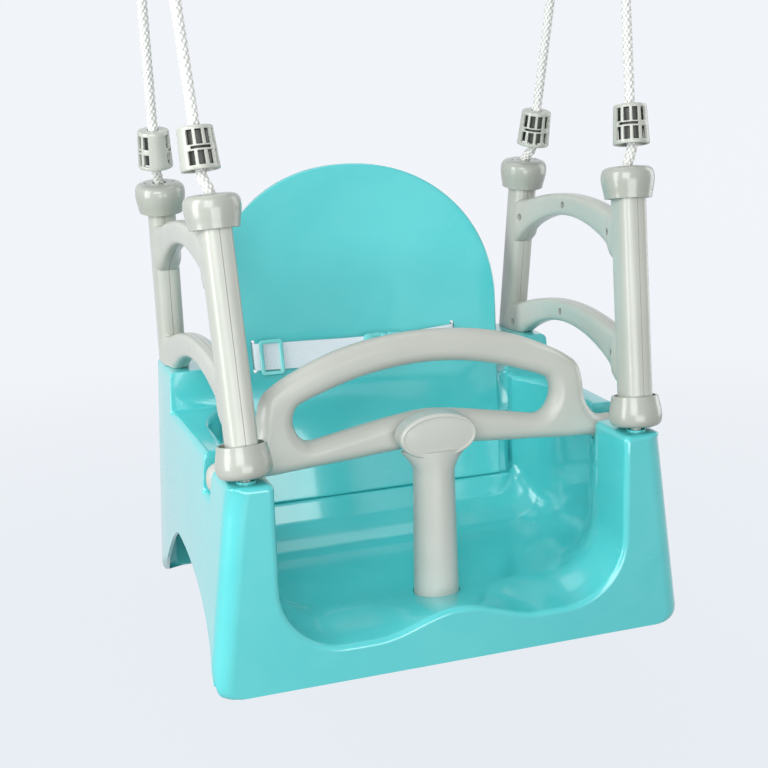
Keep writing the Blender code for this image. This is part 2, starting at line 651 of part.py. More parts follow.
def build_frame(side_name, sign, parent):
    """Both halves of a side frame, their screws, and the caps and cup on its tubes."""
    mirror = np.array([sign, 1.0, 1.0])
    rear_low = plane_z_at(REAR_TUBE, BLOCK_Z + SEAT_GAP)
    runs = ((FRONT_TUBE, FRONT_TUBE_HALF, front_tube_low(), False), (REAR_TUBE, REAR_TUBE_HALF, rear_low, True))

    def solid(shape):
        points, faces = shape
        return face_outwards(add_mesh("part", points * mirror, faces, FRAME_GREY))

    for half_name, side in (("outer", 1), ("inner", -1)):
        parts = [solid(frame_tube(*run)) for run in runs]
        parts += [solid(frame_arch(crown)) for crown in ARCH_CROWNS]
        shell = parts[0]
        shell.name = f"frame_{side_name}_{half_name}"
        combine(shell, parts[1:], "UNION")
        cutters = [solid(far_side(side))]
        for tube, _, low, _ in runs:
            start = tube_point(tube, low - 0.01) * mirror
            end = tube_point(tube, TUBE_TOP_Z + 0.01) * mirror
            cutters.append(rod(start, end - start, TUBE_BORE_R, np.linalg.norm(end - start), 12))
        cutters.append(box((-CUT_X, BLOCK_FRONT_Y - 0.01, 0.0), (CUT_X, CUT_Y[1], BLOCK_Z + SEAT_GAP)))
        inward = np.array([-sign, 0.0, 0.0])
        for point in screw_points():
            base = point * mirror
            if side < 0:
                cutters.append(rod(base - 0.01 * inward, inward, 0.5 * SCREW_R + SCREW_GAP, 0.03, 8))
                cutters.append(rod(base + SCREW_SEAT * inward, inward, SCREW_R + SCREW_GAP, 0.02, 8))
            else:
                cutters.append(rod(base - SCREW_GRIP * inward, inward, 0.5 * SCREW_R + SCREW_GAP, 0.02, 8))
        combine(shell, cutters, "DIFFERENCE")
        face_outwards(shell)
        place(shell, parent)
    for index, point in enumerate(screw_points()):
        tip = SCREW_GRIP - SEAT_GAP
        head = tip + SCREW_SEAT + SEAT_GAP
        base = point * mirror + np.array([sign * tip, 0.0, 0.0])
        profile = [(0.0, 0.0), (0.5 * SCREW_R, 0.0), (0.5 * SCREW_R, head), (SCREW_R, head),
                   (SCREW_R, head + SCREW_HEAD), (0.0, head + SCREW_HEAD)]
        turned_node(f"frame_screw_{side_name}_{index + 1}", profile, base, (-sign, 0, 0), STEEL, 6, parent)
    reach = CAP_HEIGHT - CAP_TOP - CAP_SEAT
    for end_name, tube in (("front", FRONT_TUBE), ("rear", REAR_TUBE)):
        axis = tube_axis(tube)
        base = (tube_point(tube, TUBE_TOP_Z) - reach * axis) * mirror
        turned_node(f"cap_{side_name}_{end_name}", cap_profile(), base, axis * mirror, FRAME_GREY, 16, parent)
    axis = tube_axis(FRONT_TUBE)
    base = (tube_point(FRONT_TUBE, front_tube_low()) + reach * axis) * mirror
    turned_node(f"cup_{side_name}", cap_profile(), base, -axis * mirror, FRAME_GREY, 16, parent)


def screw_points():
    """Where the six screws of a frame stand on its parting plane: at both ends and the middle of each arch."""
    found = []
    for crown in ARCH_CROWNS:
        start, end = arch_ends(crown)
        for y in (start + SCREW_FROM_TUBE, 0.5 * (start + end), end - SCREW_FROM_TUBE):
            found.append(leaned([(0.0, y, arch_middle(y, crown)[0])])[0])
    return found


def cap_profile():
    """Section of a tube's cap, mouth down: a mushroom with rounded shoulders and a rope hole in its top."""
    return [
        (CAP_BORE_R, 0.0), (CAP_MOUTH_R, 0.0), (0.5 * (CAP_R + CAP_MOUTH_R) + 0.0004, 0.25 * CAP_HEIGHT),
        (CAP_R, 0.55 * CAP_HEIGHT), (CAP_R - 0.0010, 0.76 * CAP_HEIGHT), (CAP_R - 0.0052, 0.95 * CAP_HEIGHT),
        (0.5 * CAP_R, CAP_HEIGHT), (ROPE_HOLE_R, CAP_HEIGHT), (ROPE_HOLE_R, CAP_HEIGHT - CAP_TOP),
        (CAP_BORE_R, CAP_HEIGHT - CAP_TOP),
    ]


def place(made, parent):
    """Moves an object's origin to its parent's, keeping its shape where it is."""
    bpy.context.view_layer.update()
    made.parent = parent
    made.matrix_parent_inverse = parent.matrix_world.inverted()


# Ropes


def contact_turn(end_name):
    """Angle about the swing axis at which a leg meets its thimble, from +Y towards +Z: the tangent from its foot."""
    _, y, z = ROPE_FEET[end_name]
    distance = math.hypot(y - RING_BACK, z - RING_DROP)
    sign = -1 if end_name == "front" else 1
    return math.atan2(z - RING_DROP, y - RING_BACK) + sign * math.acos(SHEAVE_R / distance)


def over_thimble(turn):
    """A point on the rope's centre line round the thimble."""
    return np.array([RING_SPREAD, RING_BACK + SHEAVE_R * math.cos(turn), RING_DROP + SHEAVE_R * math.sin(turn)])


def rope_line(end_name):
    """The foot of an adjuster on its rope, and the direction of the straight run from there up to the thimble."""
    foot = np.array(ROPE_FEET[end_name])
    return foot, unit(over_thimble(contact_turn(end_name)) - foot)


def rope_leg(end_name):
    """Hand-chosen points of one rope leg, from its knot under the tub up to where it meets the thimble."""
    tube, seat, top = leg_parts(end_name)
    start_z = top - SHELL_WALL - WASHER_T - 3 * SEAT_GAP
    foot, along = rope_line(end_name)
    route = [(seat[0], seat[1], start_z), (seat[0], seat[1], start_z + 0.012)]
    route += [tube_point(tube, TUBE_TOP_Z - 0.120), tube_point(tube, TUBE_TOP_Z + CAP_TOP)]
    route += [foot - 0.004 * along, foot + 0.020 * along]
    contact = over_thimble(contact_turn(end_name))
    route += [foot + (contact - foot) * part for part in (0.3, 0.55, 0.8, 1.0)]
    return [np.asarray(p, float) for p in route]


def leg_parts(end_name):
    """The tube that a rope leg runs through, the point where it passes the tub, and the tub's height there."""
    if end_name == "front":
        return FRONT_TUBE, front_seat(), POST_Z
    return REAR_TUBE, rear_seat(), BLOCK_Z


def smooth_path(route, spacing):
    """Points about `spacing` apart on a centripetal Catmull-Rom curve through the route."""
    route = np.array(route)
    padded = np.vstack([2 * route[0] - route[1], route, 2 * route[-1] - route[-2]])
    points = [route[0]]
    for i in range(1, len(padded) - 2):
        p = padded[i - 1 : i + 3]
        knots = np.concatenate([[0.0], np.cumsum(np.sqrt(np.linalg.norm(np.diff(p, axis=0), axis=1)))])
        length = np.linalg.norm(p[2] - p[1])
        steps = max(1, round(length / spacing))
        for j in range(1, steps + 1):
            t = knots[1] + (knots[2] - knots[1]) * j / steps
            a = [((knots[k + 1] - t) * p[k] + (t - knots[k]) * p[k + 1]) / (knots[k + 1] - knots[k]) for k in range(3)]
            b = [((knots[k + 2] - t) * a[k] + (t - knots[k]) * a[k + 1]) / (knots[k + 2] - knots[k]) for k in range(2)]
            points.append(((knots[2] - t) * b[0] + (t - knots[1]) * b[1]) / (knots[2] - knots[1]))
    return points


def build_rope(side_name, sign, parent):
    """One continuous rope: up through the front tube, over the thimble, and down through the rear tube."""
    start = contact_turn("front") % (2 * math.pi)
    end = contact_turn("rear")
    over = [over_thimble(start + (end - start) * i / OVER_STEPS) for i in range(1, OVER_STEPS)]
    route = rope_leg("front") + over + rope_leg("rear")[::-1]
    points = np.array(smooth_path(route, ROPE_SPACING)) * np.array([sign, 1.0, 1.0])
    curve = bpy.data.curves.new(f"rope_{side_name}", "CURVE")
    curve.dimensions = "3D"
    spline = curve.splines.new("POLY")
    spline.points.add(len(points) - 1)
    for target, point in zip(spline.points, points + DATUM):
        target.co = (*point, 1.0)
    curve.bevel_depth = ROPE_R
    curve.bevel_resolution = 2
    curve.use_fill_caps = True
    curve.materials.append(ROPE_WHITE)
    made = bpy.data.objects.new(f"rope_{side_name}", curve)
    bpy.context.scene.collection.objects.link(made)
    place(made, parent)


def build_rope_ends(side_name, sign, parent):
    """A steel washer and the rope's knot under each hole in the tub."""
    for end_name in ("front", "rear"):
        _, seat, top = leg_parts(end_name)
        under = top - SHELL_WALL - SEAT_GAP
        base = (sign * seat[0], seat[1], under - WASHER_T)
        profile = [(ROPE_HOLE_R, 0.0), (WASHER_R, 0.0), (WASHER_R, WASHER_T), (ROPE_HOLE_R, WASHER_T)]
        turned_node(f"washer_{side_name}_{end_name}", profile, base, (0, 0, 1), STEEL, 12, parent)
        middle = (sign * seat[0], seat[1], under - WASHER_T - 3 * SEAT_GAP - KNOT_HALF_H)
        profile = [(0.0, -KNOT_HALF_H), (0.6 * KNOT_R, -0.8 * KNOT_HALF_H), (KNOT_R, -0.15 * KNOT_HALF_H),
                   (0.75 * KNOT_R, 0.65 * KNOT_HALF_H), (ROPE_R, KNOT_HALF_H), (0.0, KNOT_HALF_H)]
        turned_node(f"knot_{side_name}_{end_name}", profile, middle, (0, 0, 1), ROPE_WHITE, 8, parent)


def adjuster_rows():
    """(height as a share, radius) down the outside of an adjuster and over its roof to the rope, then the same rows
    on the inside."""
    shares = (0.0, 0.10, 0.44, 0.56, 0.90)
    grip = ROPE_R + ROPE_CLEARANCE

    def radius(part):
        return ADJUSTER_FOOT_R + (ADJUSTER_TOP_R - ADJUSTER_FOOT_R) * part

    outside = [(part, radius(part)) for part in shares] + [(1.0, ADJUSTER_TOP_R), (1.0, grip)]
    inside = [(part, radius(part) - ADJUSTER_WALL) for part in shares]
    inside += [(ADJUSTER_ROOF, radius(ADJUSTER_ROOF) - ADJUSTER_WALL), (ADJUSTER_ROOF, grip)]
    return outside, inside


def adjuster_faces(rows, columns):
    """Faces of a half shell laid out as an outer and an inner grid, with its windows left open."""
    shift = columns * rows
    open_cells = {(r, c) for r in (1, 3) for c in (2, 4, 6, 8)}
    faces = []
    for r in range(rows - 1):
        for c in range(columns - 1):
            a = r * columns + c
            corners = (a, a + 1, a + columns + 1, a + columns)
            if (r, c) in open_cells:
                for i in range(4):
                    p, q = corners[i], corners[(i + 1) % 4]
                    faces.append((q, p, p + shift, q + shift))
            else:
                faces.append(corners)
                faces.append(tuple(i + shift for i in corners[::-1]))
    for c in range(columns - 1):
        faces.append((c + 1, c, c + shift, c + 1 + shift))
        a = (rows - 1) * columns + c
        faces.append((a, a + 1, a + 1 + shift, a + shift))
    for r in range(rows - 1):
        a = r * columns
        faces.append((a, a + columns, a + columns + shift, a + shift))
        a = r * columns + columns - 1
        faces.append((a + columns, a, a + shift, a + columns + shift))
    return faces


def build_adjuster(side_name, end_name, sign, parent):
    """Both half shells of a rope adjuster: each has four by two windows between plain bands at the seams, and a roof
    that the rope runs through."""
    foot, along = rope_line(end_name)
    mirror = np.array([sign, 1.0, 1.0])
    foot, along = foot * mirror, unit(along * mirror)
    side = unit(np.cross([0.0, 1.0, 0.0], along))
    other = np.cross(along, side)
    turns = (-90 + SEAM_TURN, -65, -40, -28, -21, -3, 3, 21, 28, 40, 65, 90 - SEAM_TURN)
    outside, inside = adjuster_rows()
    for half_name, base_turn in (("a", 90), ("b", -90)):
        points = []
        for part, radius in outside + inside:
            for turn in turns:
                angle = math.radians(turn + base_turn)
                out = math.cos(angle) * side + math.sin(angle) * other
                points.append(foot + part * ADJUSTER_HEIGHT * along + radius * out)
        faces = adjuster_faces(len(outside), len(turns))
        name = f"adjuster_{side_name}_{end_name}_{half_name}"
        face_outwards(add_mesh(name, points, faces, FRAME_GREY, foot, parent))


# Rings and thimbles


def build_hanger(side_name, sign, root, parent):
    """A steel ring on the swing axis and the grooved thimble that carries the rope over it."""
    centre = np.array([sign * RING_SPREAD, RING_BACK, RING_DROP + RING_R])
    points = []
    around, wire = RING_STEPS
    for i in range(around):
        turn = 2 * math.pi * i / around
        out = np.array([math.cos(turn), 0.0, math.sin(turn)])
        for k in range(wire):
            bend = 2 * math.pi * k / wire
            points.append(centre + out * (RING_R + RING_WIRE_R * math.cos(bend))
                          + np.array([0.0, RING_WIRE_R * math.sin(bend), 0.0]))
    base = (sign * RING_SPREAD, RING_BACK, RING_DROP)
    face_outwards(add_mesh(f"ring_{side_name}", points, looped_faces(around, wire), STEEL, base, root))
    step = (contact_turn("front") % (2 * math.pi) - contact_turn("rear")) / OVER_STEPS
    groove = SHEAVE_R * math.cos(0.5 * step) - ROPE_R - SEAT_GAP
    bore = RING_WIRE_R + THIMBLE_WIDTH**2 / (8 * RING_R) + 0.0006
    half = 0.5 * THIMBLE_WIDTH
    flange = SHEAVE_R - 0.5 * ROPE_R
    profile = [(bore, -half), (flange, -half), (groove, -0.35 * half), (groove, 0.35 * half), (flange, half),
               (bore, half)]
    turned_node(f"thimble_{side_name}", profile, base, (1, 0, 0), FRAME_GREY, 16, parent)


# Guard


def guard_scaled(points):
    """Points of the guard as drawn, with their x drawn in or out so that the lugs end where they should."""
    return [(x * GUARD_TIP_X / GUARD_DRAWN_X, z) for x, z in points]


def guard_outline():
    """The guard's outer edge and its window's edge as seen from the front, point for point, right half from the
    top middle round to the bottom middle."""
    tip = GUARD_DRAWN_X
    outer = [(0.0, 0.2702), (0.030, 0.2688), (0.060, 0.2643), (0.088, 0.2566), (0.112, 0.2465), (0.131, 0.2365),
             (0.1425, 0.2270), (0.1475, 0.2120), (0.1490, 0.1985), (0.1538, 0.1868), (0.1625, 0.1780),
             (tip - 0.008, 0.1762), (tip, 0.1690), (tip, NOTCH_Z + 0.0055),
             (tip - 0.006, NOTCH_Z + SEAT_GAP), (0.170, NOTCH_Z + SEAT_GAP), (0.157, 0.1585),
             (0.133, 0.1603), (0.105, 0.1625), (0.071, 0.1648), (0.035, 0.1676), (0.0, GUARD_FOOT_Z)]
    inner = [(0.0, 0.2425), (0.026, 0.2412), (0.051, 0.2373), (0.074, 0.2315), (0.093, 0.2252), (0.106, 0.2205),
             (0.1135, 0.2165), (0.1165, 0.2110), (0.1175, 0.2050), (0.1172, 0.2010), (0.1162, 0.1975),
             (0.1150, 0.1945), (0.1135, 0.1918), (0.1115, 0.1893), (0.1092, 0.1873), (0.1062, 0.1859),
             (0.1025, 0.1854), (0.094, 0.1865), (0.080, 0.1892), (0.058, 0.1932), (0.030, 0.1980), (0.0, 0.2010)]
    return guard_scaled(outer), guard_scaled(inner)


def guard_shell(name, front_y, back_y, parent, origin):
    """One shell of the guard: a loop whose free face is rounded over towards front_y."""
    outer, inner = guard_outline()
    outer = np.array(outer + [(-x, z) for x, z in outer[-2:0:-1]])
    inner = np.array(inner + [(-x, z) for x, z in inner[-2:0:-1]])
    between = inner - outer
    between /= np.linalg.norm(between, axis=1)[:, None]
    step = GUARD_EDGE if front_y < back_y else -GUARD_EDGE
    rows = [(outer, back_y), (outer, front_y + step), (outer + GUARD_EDGE * between, front_y),
            (inner - GUARD_EDGE * between, front_y), (inner, front_y + step), (inner, back_y)]
    points = []
    for i in range(len(outer)):
        points += [(edge[i][0], y, edge[i][1]) for edge, y in rows]
    faces = looped_faces(len(outer), len(rows))
    return face_outwards(add_mesh(name, points, faces, GUARD_GREY, origin, parent))


def column_radius(z):
    part = np.clip((z - FLOOR_Z) / (COLUMN_NECK_Z - FLOOR_Z), 0.0, 1.0)
    return COLUMN_FOOT_R + (COLUMN_NECK_R - COLUMN_FOOT_R) * part


def half_column(side, stations):
    """Half of the round column through (height, half-width) stations, in front of (-1) or behind its parting plane."""
    points = []
    steps = 8
    for z, half_x in stations:
        depth = column_radius(z)
        for i in range(steps + 1):
            turn = math.pi * i / steps
            points.append((half_x * math.cos(turn), COLUMN_Y + side * (0.5 * PARTING_GAP + depth * math.sin(turn)), z))
    return points, tube_faces(len(stations), steps + 1)


def build_guard(parent):
    """The guard's two shells, the column's two halves with the bare oval badge, and the guard's rear screws."""
    origin = (0.0, COLUMN_Y, FLOOR_Z)
    middle_y = 0.5 * (GUARD_FRONT_Y + GUARD_BACK_Y)
    guard_shell("guard_front", GUARD_FRONT_Y, middle_y - 0.5 * PARTING_GAP, parent, origin)
    rear = guard_shell("guard_rear", GUARD_BACK_Y, middle_y + 0.5 * PARTING_GAP, parent, origin)
    rearward = (0, 1, 0)
    seat_y = GUARD_BACK_Y - GUARD_SCREW_SEAT
    shafts = [rod((x, seat_y, z), rearward, SCREW_R + SCREW_GAP, 0.02, 8) for x, z in guard_screw_points()]
    combine(rear, shafts, "DIFFERENCE")
    face_outwards(rear)
    edge, top = GUARD_SCREW_HEAD
    for index, (x, z) in enumerate(guard_screw_points()):
        profile = [(0.0, 0.0), (SCREW_R, 0.0), (SCREW_R, edge), (0.5 * SCREW_R, top), (0.0, top)]
        turned_node(f"guard_screw_{index + 1}", profile, (x, seat_y + SEAT_GAP, z), rearward, STEEL, 8, parent)
    levels = [COLUMN_FOOT_Z, FLOOR_Z, 0.5 * (FLOOR_Z + COLUMN_NECK_Z), COLUMN_NECK_Z]
    column = [(z, column_radius(z)) for z in levels]
    points, faces = half_column(-1, column + list(COLUMN_FLARE))
    front = face_outwards(add_mesh("column_front", points, faces, COLUMN_GREY, origin, parent))
    combine(front, [badge_solid()], "UNION")
    face_outwards(combine(front, [box((-0.05, COLUMN_Y - 0.5 * PARTING_GAP, GUARD_FOOT_Z - 0.0009),
                                      (0.05, 0.2, 0.25))], "DIFFERENCE"))
    points, faces = half_column(1, column + [(GUARD_FOOT_Z - 3 * SEAT_GAP, column_radius(0.17))])
    face_outwards(add_mesh("column_rear", points, faces, COLUMN_GREY, origin, parent))


def badge_solid():
    """The column's oval head: a raised rim round a bare field, down to the guard's front face."""
    steps = 24
    rows = [(1.0, COLUMN_Y - PARTING_GAP), (1.0, BADGE_FACE_Y + 0.0015), (1.0 - 0.0012 / BADGE_HALF[1], BADGE_FACE_Y),
            (1.0 - BADGE_RIM / BADGE_HALF[1], BADGE_FACE_Y),
            (0.98 - BADGE_RIM / BADGE_HALF[1], BADGE_FACE_Y + BADGE_SINK)]
    points = []
    for size, y in rows:
        for i in range(steps):
            turn = 2 * math.pi * i / steps
            points.append((size * BADGE_HALF[0] * math.cos(turn), y, BADGE_Z + size * BADGE_HALF[1] * math.sin(turn)))
    return face_outwards(add_mesh("badge", points, tube_faces(len(rows), steps), COLUMN_GREY))


def guard_screw_points():
    return guard_scaled([(-0.132, 0.205), (0.132, 0.205), (-0.055, 0.2510), (0.055, 0.2510)])


# Backrest and belt


def back_surface(x, z, set_back=0.0):
    """A point on the dished panel, behind its front face by set_back."""
    fade = np.clip((z - SHELF_Z) / DISH_FADE, 0.0, 1.0)
    dish = BACK_DISH * (1 - min(abs(x) / BACK_HALF, 1.0) ** 2) * fade
    return (x, backrest_y(z) + dish + set_back, z)


def back_sheet(inset, set_back):
    """A grid of points over the panel, strip by strip from foot to arched top, drawn in from its edge by an inset."""
    points = []
    foot_z = LEDGE_Z + inset
    for i in range(BACK_STRIPS):
        turn = math.pi * i / (BACK_STRIPS - 1)
        rise = abs(math.sin(turn)) ** (2 / BACK_ARCH)
        wide = -math.copysign(abs(math.cos(turn)) ** (2 / BACK_ARCH), math.cos(turn))
        top_z = BACK_SHOULDER_Z + (BACK_TOP_Z - inset - BACK_SHOULDER_Z) * rise
        for z in (foot_z, SHELF_Z, SHELF_Z + 0.5 * DISH_FADE, SHELF_Z + DISH_FADE, top_z):
            part = np.clip((z - foot_z) / (BACK_SHOULDER_Z - foot_z), 0.0, 1.0)
            half = BACK_FOOT_HALF + (BACK_HALF - BACK_FOOT_HALF) * part - inset
            points.append(back_surface(half * wide, z, set_back))
    return points


def build_backrest(parent):
    """The dished panel with a flange round its edge, open behind, and two slots for the belt."""
    layers = [back_sheet(0.0, 0.0), back_sheet(0.0, BACK_FLANGE), back_sheet(BACK_PANEL, BACK_FLANGE),
              back_sheet(BACK_PANEL, BACK_PANEL)]
    size = len(layers[0])
    rows = size // BACK_STRIPS
    points = [p for layer in layers for p in layer]
    last = size - rows
    rim = list(range(0, last, rows)) + list(range(last, size - 1)) + list(range(size - 1, rows - 1, -rows))
    rim += list(range(rows - 1, 0, -1))
    faces = []
    for i in range(BACK_STRIPS - 1):
        for r in range(rows - 1):
            a = i * rows + r
            faces.append((a, a + rows, a + rows + 1, a + 1))
            faces.append(tuple(v + 3 * size for v in (a, a + 1, a + rows + 1, a + rows)))
    for layer in range(3):
        for k in range(len(rim)):
            a, b = rim[k] + layer * size, rim[(k + 1) % len(rim)] + layer * size
            faces.append((b, a, a + size, b + size))
    panel = face_outwards(add_mesh("backrest", points, faces, TURQUOISE, (0, 0, 0), parent))
    slots = []
    for x in (LOOP_SLOT_X, FREE_SLOT_X):
        y = backrest_y(BELT_Z)
        slots.append(box((x - 0.5 * BACK_SLOT[0], y - 0.03, BELT_Z - 0.5 * BACK_SLOT[1]),
                         (x + 0.5 * BACK_SLOT[0], y + 0.03, BELT_Z + 0.5 * BACK_SLOT[1])))
    combine(panel, slots, "DIFFERENCE")
    face_outwards(panel)


def ribbon(name, stations, material, parent):
    """Webbing along (x, y, z) stations, standing on edge."""
    stations = np.array(stations)
    along = np.gradient(stations, axis=0)
    along[:, 2] = 0.0
    along /= np.linalg.norm(along, axis=1)[:, None]
    out = np.stack([along[:, 1], -along[:, 0], np.zeros(len(along))], 1) * 0.5 * WEB_T
    half = 0.5 * WEB_WIDTH
    up = np.array([0.0, BACK_LEAN * half, half])
    points = []
    for p, n in zip(stations, out):
        points += [p + n - up, p - n - up, p - n + up, p + n + up]
    return face_outwards(add_mesh(name, points, tube_faces(len(stations), 4), material, stations[0], parent))


def belt_y(z=BELT_Z):
    """Depth of the webbing's middle, in front of the panel."""
    return back_surface(0.104, z)[1] - WEB_STAND - 0.5 * WEB_T


def web_route(slot_x, sign, inner_x, end_x, y):
    """Webbing's stations from behind a slot, round its edge and along to the buckle, sagging towards it."""
    behind = y + WEB_STAND + BACK_FLANGE + 0.004
    return [(slot_x, behind, BELT_Z), (slot_x, y + 0.004, BELT_Z), (slot_x + sign * 0.0022, y + 0.0010, BELT_Z),
            (slot_x + sign * WEB_TURN, y, BELT_Z), (inner_x, y, BELT_Z - BELT_SAG + 0.001), (end_x, y, BELT_Z - BELT_SAG)]


def buckle_half(name, ends, y, parent):
    """The socket or the plug of the buckle: a flat block with its long edges and its outer end drawn in."""
    middle = BELT_Z - BELT_SAG
    low, high = ends[0] + 0.5 * SEAT_GAP, ends[1] - 0.5 * SEAT_GAP
    section = ((-0.5, -0.8), (-0.5, 0.8), (-0.2, 1.0), (0.2, 1.0), (0.5, 0.8), (0.5, -0.8), (0.2, -1.0), (-0.2, -1.0))
    rows = []
    for x, part in ((low, 0.86), (low + BUCKLE_ROUND, 1.0), (high - BUCKLE_ROUND, 1.0), (high, 0.9)):
        for dy, dz in section:
            z = middle + dz * 0.5 * BUCKLE_WIDTH * part
            rows.append((x, y + BACK_LEAN * (z - middle) + dy * BUCKLE_T * part - BUCKLE_STAND, z))
    return face_outwards(add_mesh(name, rows, tube_faces(4, len(section)), TURQUOISE, (low, y, middle), parent))


def build_slider(y, parent):
    """The belt's slider: a flat frame just in front of the webbing."""
    middle = BELT_Z - SLIDER_DROP
    rows = []
    for half, dy in ((SLIDER_OUTER, 0.0), (SLIDER_OUTER, -SLIDER_T), (SLIDER_INNER, -SLIDER_T), (SLIDER_INNER, 0.0)):
        for sx, sz in ((-1, -1), (1, -1), (1, 1), (-1, 1)):
            z = middle + sz * 0.5 * half[1]
            back = y + BACK_LEAN * (z - middle) - 0.5 * WEB_T - SLIDER_STAND
            rows.append((SLIDER_X + sx * 0.5 * half[0], back + dy, z))
    face_outwards(add_mesh("belt_slider", rows, looped_faces(4, 4), TURQUOISE, (SLIDER_X, y, middle), parent))


def build_belt(parent):
    """The lap belt: two lengths of webbing from slots in the backrest, a slider, and a side-release buckle."""
    y = belt_y()
    left = web_route(LOOP_SLOT_X, 1, -0.045, BUCKLE_X[0] - SEAT_GAP, y)
    right = web_route(FREE_SLOT_X, -1, 0.060, BUCKLE_X[2] + SEAT_GAP, y)
    ribbon("webbing_left", left, WEBBING_WHITE, parent)
    ribbon("webbing_right", right, WEBBING_WHITE, parent)
    buckle_half("buckle_socket", BUCKLE_X[:2], y, parent)
    buckle_half("buckle_plug", BUCKLE_X[1:], y, parent)
    build_slider(y, add_empty("slider_slide", (SLIDER_X, y, BELT_Z)))


def add_empty(name, point):
    """An empty on a joint's axis, at a point given from the datum."""
    made = bpy.data.objects.new(name, None)
    bpy.context.scene.collection.objects.link(made)
    made.location = tuple(np.asarray(point, float) + DATUM)
    return made


for old in list(bpy.data.objects):
    bpy.data.objects.remove(old, do_unlink=True)

TOOL = make_material("tool", "#808080", 0.5)
TURQUOISE = make_material("turquoise_plastic", "#6ECFCF", 0.25)
FRAME_GREY = make_material("frame_grey_plastic", "#CDD0C8", 0.3)
GUARD_GREY = make_material("guard_grey_plastic", "#B9BAB2", 0.45)
COLUMN_GREY = make_material("column_grey_plastic", "#CFD2CB", 0.35)
ROPE_WHITE = make_material("rope", "#F5F5F0", 0.8)
WEBBING_WHITE = make_material("webbing", "#EEF2F6", 0.8)
STEEL = make_material("steel", "#8C8C88", 0.35, 1.0)


def main():
    swing = add_empty("swing_axis", (0.0, RING_BACK, RING_DROP))
    root = add_empty("hanging_point", (0.0, RING_BACK, RING_DROP))
    guard = add_empty("guard_lift", (0.0, COLUMN_Y, FLOOR_Z))
    build_tub(swing)
    build_backrest(swing)
    build_belt(swing)
    build_guard(guard)
    for side_name, sign in (("left", -1), ("right", 1)):
        build_frame(side_name, sign, swing)
        build_rope(side_name, sign, swing)
        build_rope_ends(side_name, sign, swing)
        build_hanger(side_name, sign, root, swing)
        for end_name in ("front", "rear"):
            foot, _ = rope_line(end_name)
            slide = add_empty(f"adjuster_{side_name}_{end_name}_slide", foot * np.array([sign, 1.0, 1.0]))
            build_adjuster(side_name, end_name, sign, slide)


main()
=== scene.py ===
"""Looks of the child swing seat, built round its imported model.

Shapes are worked out from the seat's own datum, the middle of the tub's front bottom edge, with +X to the
right as seen from the front, +Y to the rear and +Z up, in metres. The datum's place in the model comes from
the record.
"""

import json
import logging
import math
from dataclasses import dataclass
from enum import Enum
from typing import Iterable, Sequence

import bmesh
import bpy
import numpy as np
from mathutils import Matrix, Vector
from mathutils.geometry import delaunay_2d_cdt


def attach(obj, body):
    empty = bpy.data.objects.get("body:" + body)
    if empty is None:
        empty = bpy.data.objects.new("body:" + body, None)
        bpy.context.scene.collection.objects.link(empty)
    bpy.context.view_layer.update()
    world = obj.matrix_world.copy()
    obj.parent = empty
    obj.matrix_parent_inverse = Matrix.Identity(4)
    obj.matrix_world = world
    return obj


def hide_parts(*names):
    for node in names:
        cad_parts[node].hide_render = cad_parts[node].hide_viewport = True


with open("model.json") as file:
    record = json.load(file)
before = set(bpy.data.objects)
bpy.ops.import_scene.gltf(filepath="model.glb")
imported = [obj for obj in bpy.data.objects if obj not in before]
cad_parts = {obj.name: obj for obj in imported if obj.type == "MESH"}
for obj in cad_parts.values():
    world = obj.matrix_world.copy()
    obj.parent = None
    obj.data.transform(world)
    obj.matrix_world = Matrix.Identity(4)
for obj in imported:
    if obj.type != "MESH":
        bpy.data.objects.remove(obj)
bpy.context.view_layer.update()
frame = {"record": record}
LOG = logging.getLogger("swing_seat")

BASE_EDGE_INSET = 0.0025  # the record's base edge lies this far before the datum
SMOOTH_ANGLE = math.radians(32)
SIDES = (("left", -1.0), ("right", 1.0))
FIT = 0.0003  # between pieces that rest on each other
PARTING = 0.0003  # between the two shells of a moulding
TUB_WALL = 0.003
POST_Z, BLOCK_Z, NOTCH_Z, BLOCK_FRONT_Y = 0.176, 0.218, 0.150, 0.2265
BACKREST_LINE = (0.2509, 0.195, 0.3)  # depth of its front face, lean, and height of that depth
BACKREST_FLANGE = 0.0065
GUARD_FOOT_Z = 0.1692
OVER_STEPS = 8  # runs of the rope round a thimble
SHANK_HOLE_R, PAN_HOLE_R = 0.0018, 0.0033  # of the screws
FEW, SOME, MANY, MOST = 24, 48, 64, 72  # copies of a profile round a turned piece, by its size
UP, BACK = (0.0, 0.0, 1.0), (0.0, 1.0, 0.0)

Array = np.ndarray
Piece = bpy.types.Object
Pair = tuple[float, float]
Vec = Sequence[float]


def datum_point() -> Array:
    """The seat's datum in the row frame.

    Returns:
        Its x, y and z, from the record's mount on the base edge.
    """
    mounts = {mount["name"]: mount for mount in frame["record"]["mounts"]}
    return np.array(mounts["base_edge"]["pos_m"]) + (0.0, BASE_EDGE_INSET, 0.0)


DATUM = datum_point()
SWING_AXIS = -DATUM  # the row's origin, seen from the datum


# Surfaces


def unit(vector: Vec) -> Array:
    """The vector's direction at length one."""
    vector = np.asarray(vector, float)
    return vector / np.linalg.norm(vector)


def grid_faces(rows: int, columns: int, close_rows: bool = False, close_columns: bool = False) -> Array:
    """Quads of a grid of points stored row by row.

    Args:
        rows: How many rows of points there are.
        columns: How many points a row has.
        close_rows: Whether the last row joins the first.
        close_columns: Whether each row's last point joins its first.

    Returns:
        An array of quads, as four point numbers each.
    """
    r = np.arange(rows if close_rows else rows - 1)
    c = np.arange(columns if close_columns else columns - 1)
    r, c = [a.ravel() for a in np.meshgrid(r, c, indexing="ij")]
    r2, c2 = (r + 1) % rows, (c + 1) % columns
    return np.stack([r * columns + c, r * columns + c2, r2 * columns + c2, r2 * columns + c], 1)


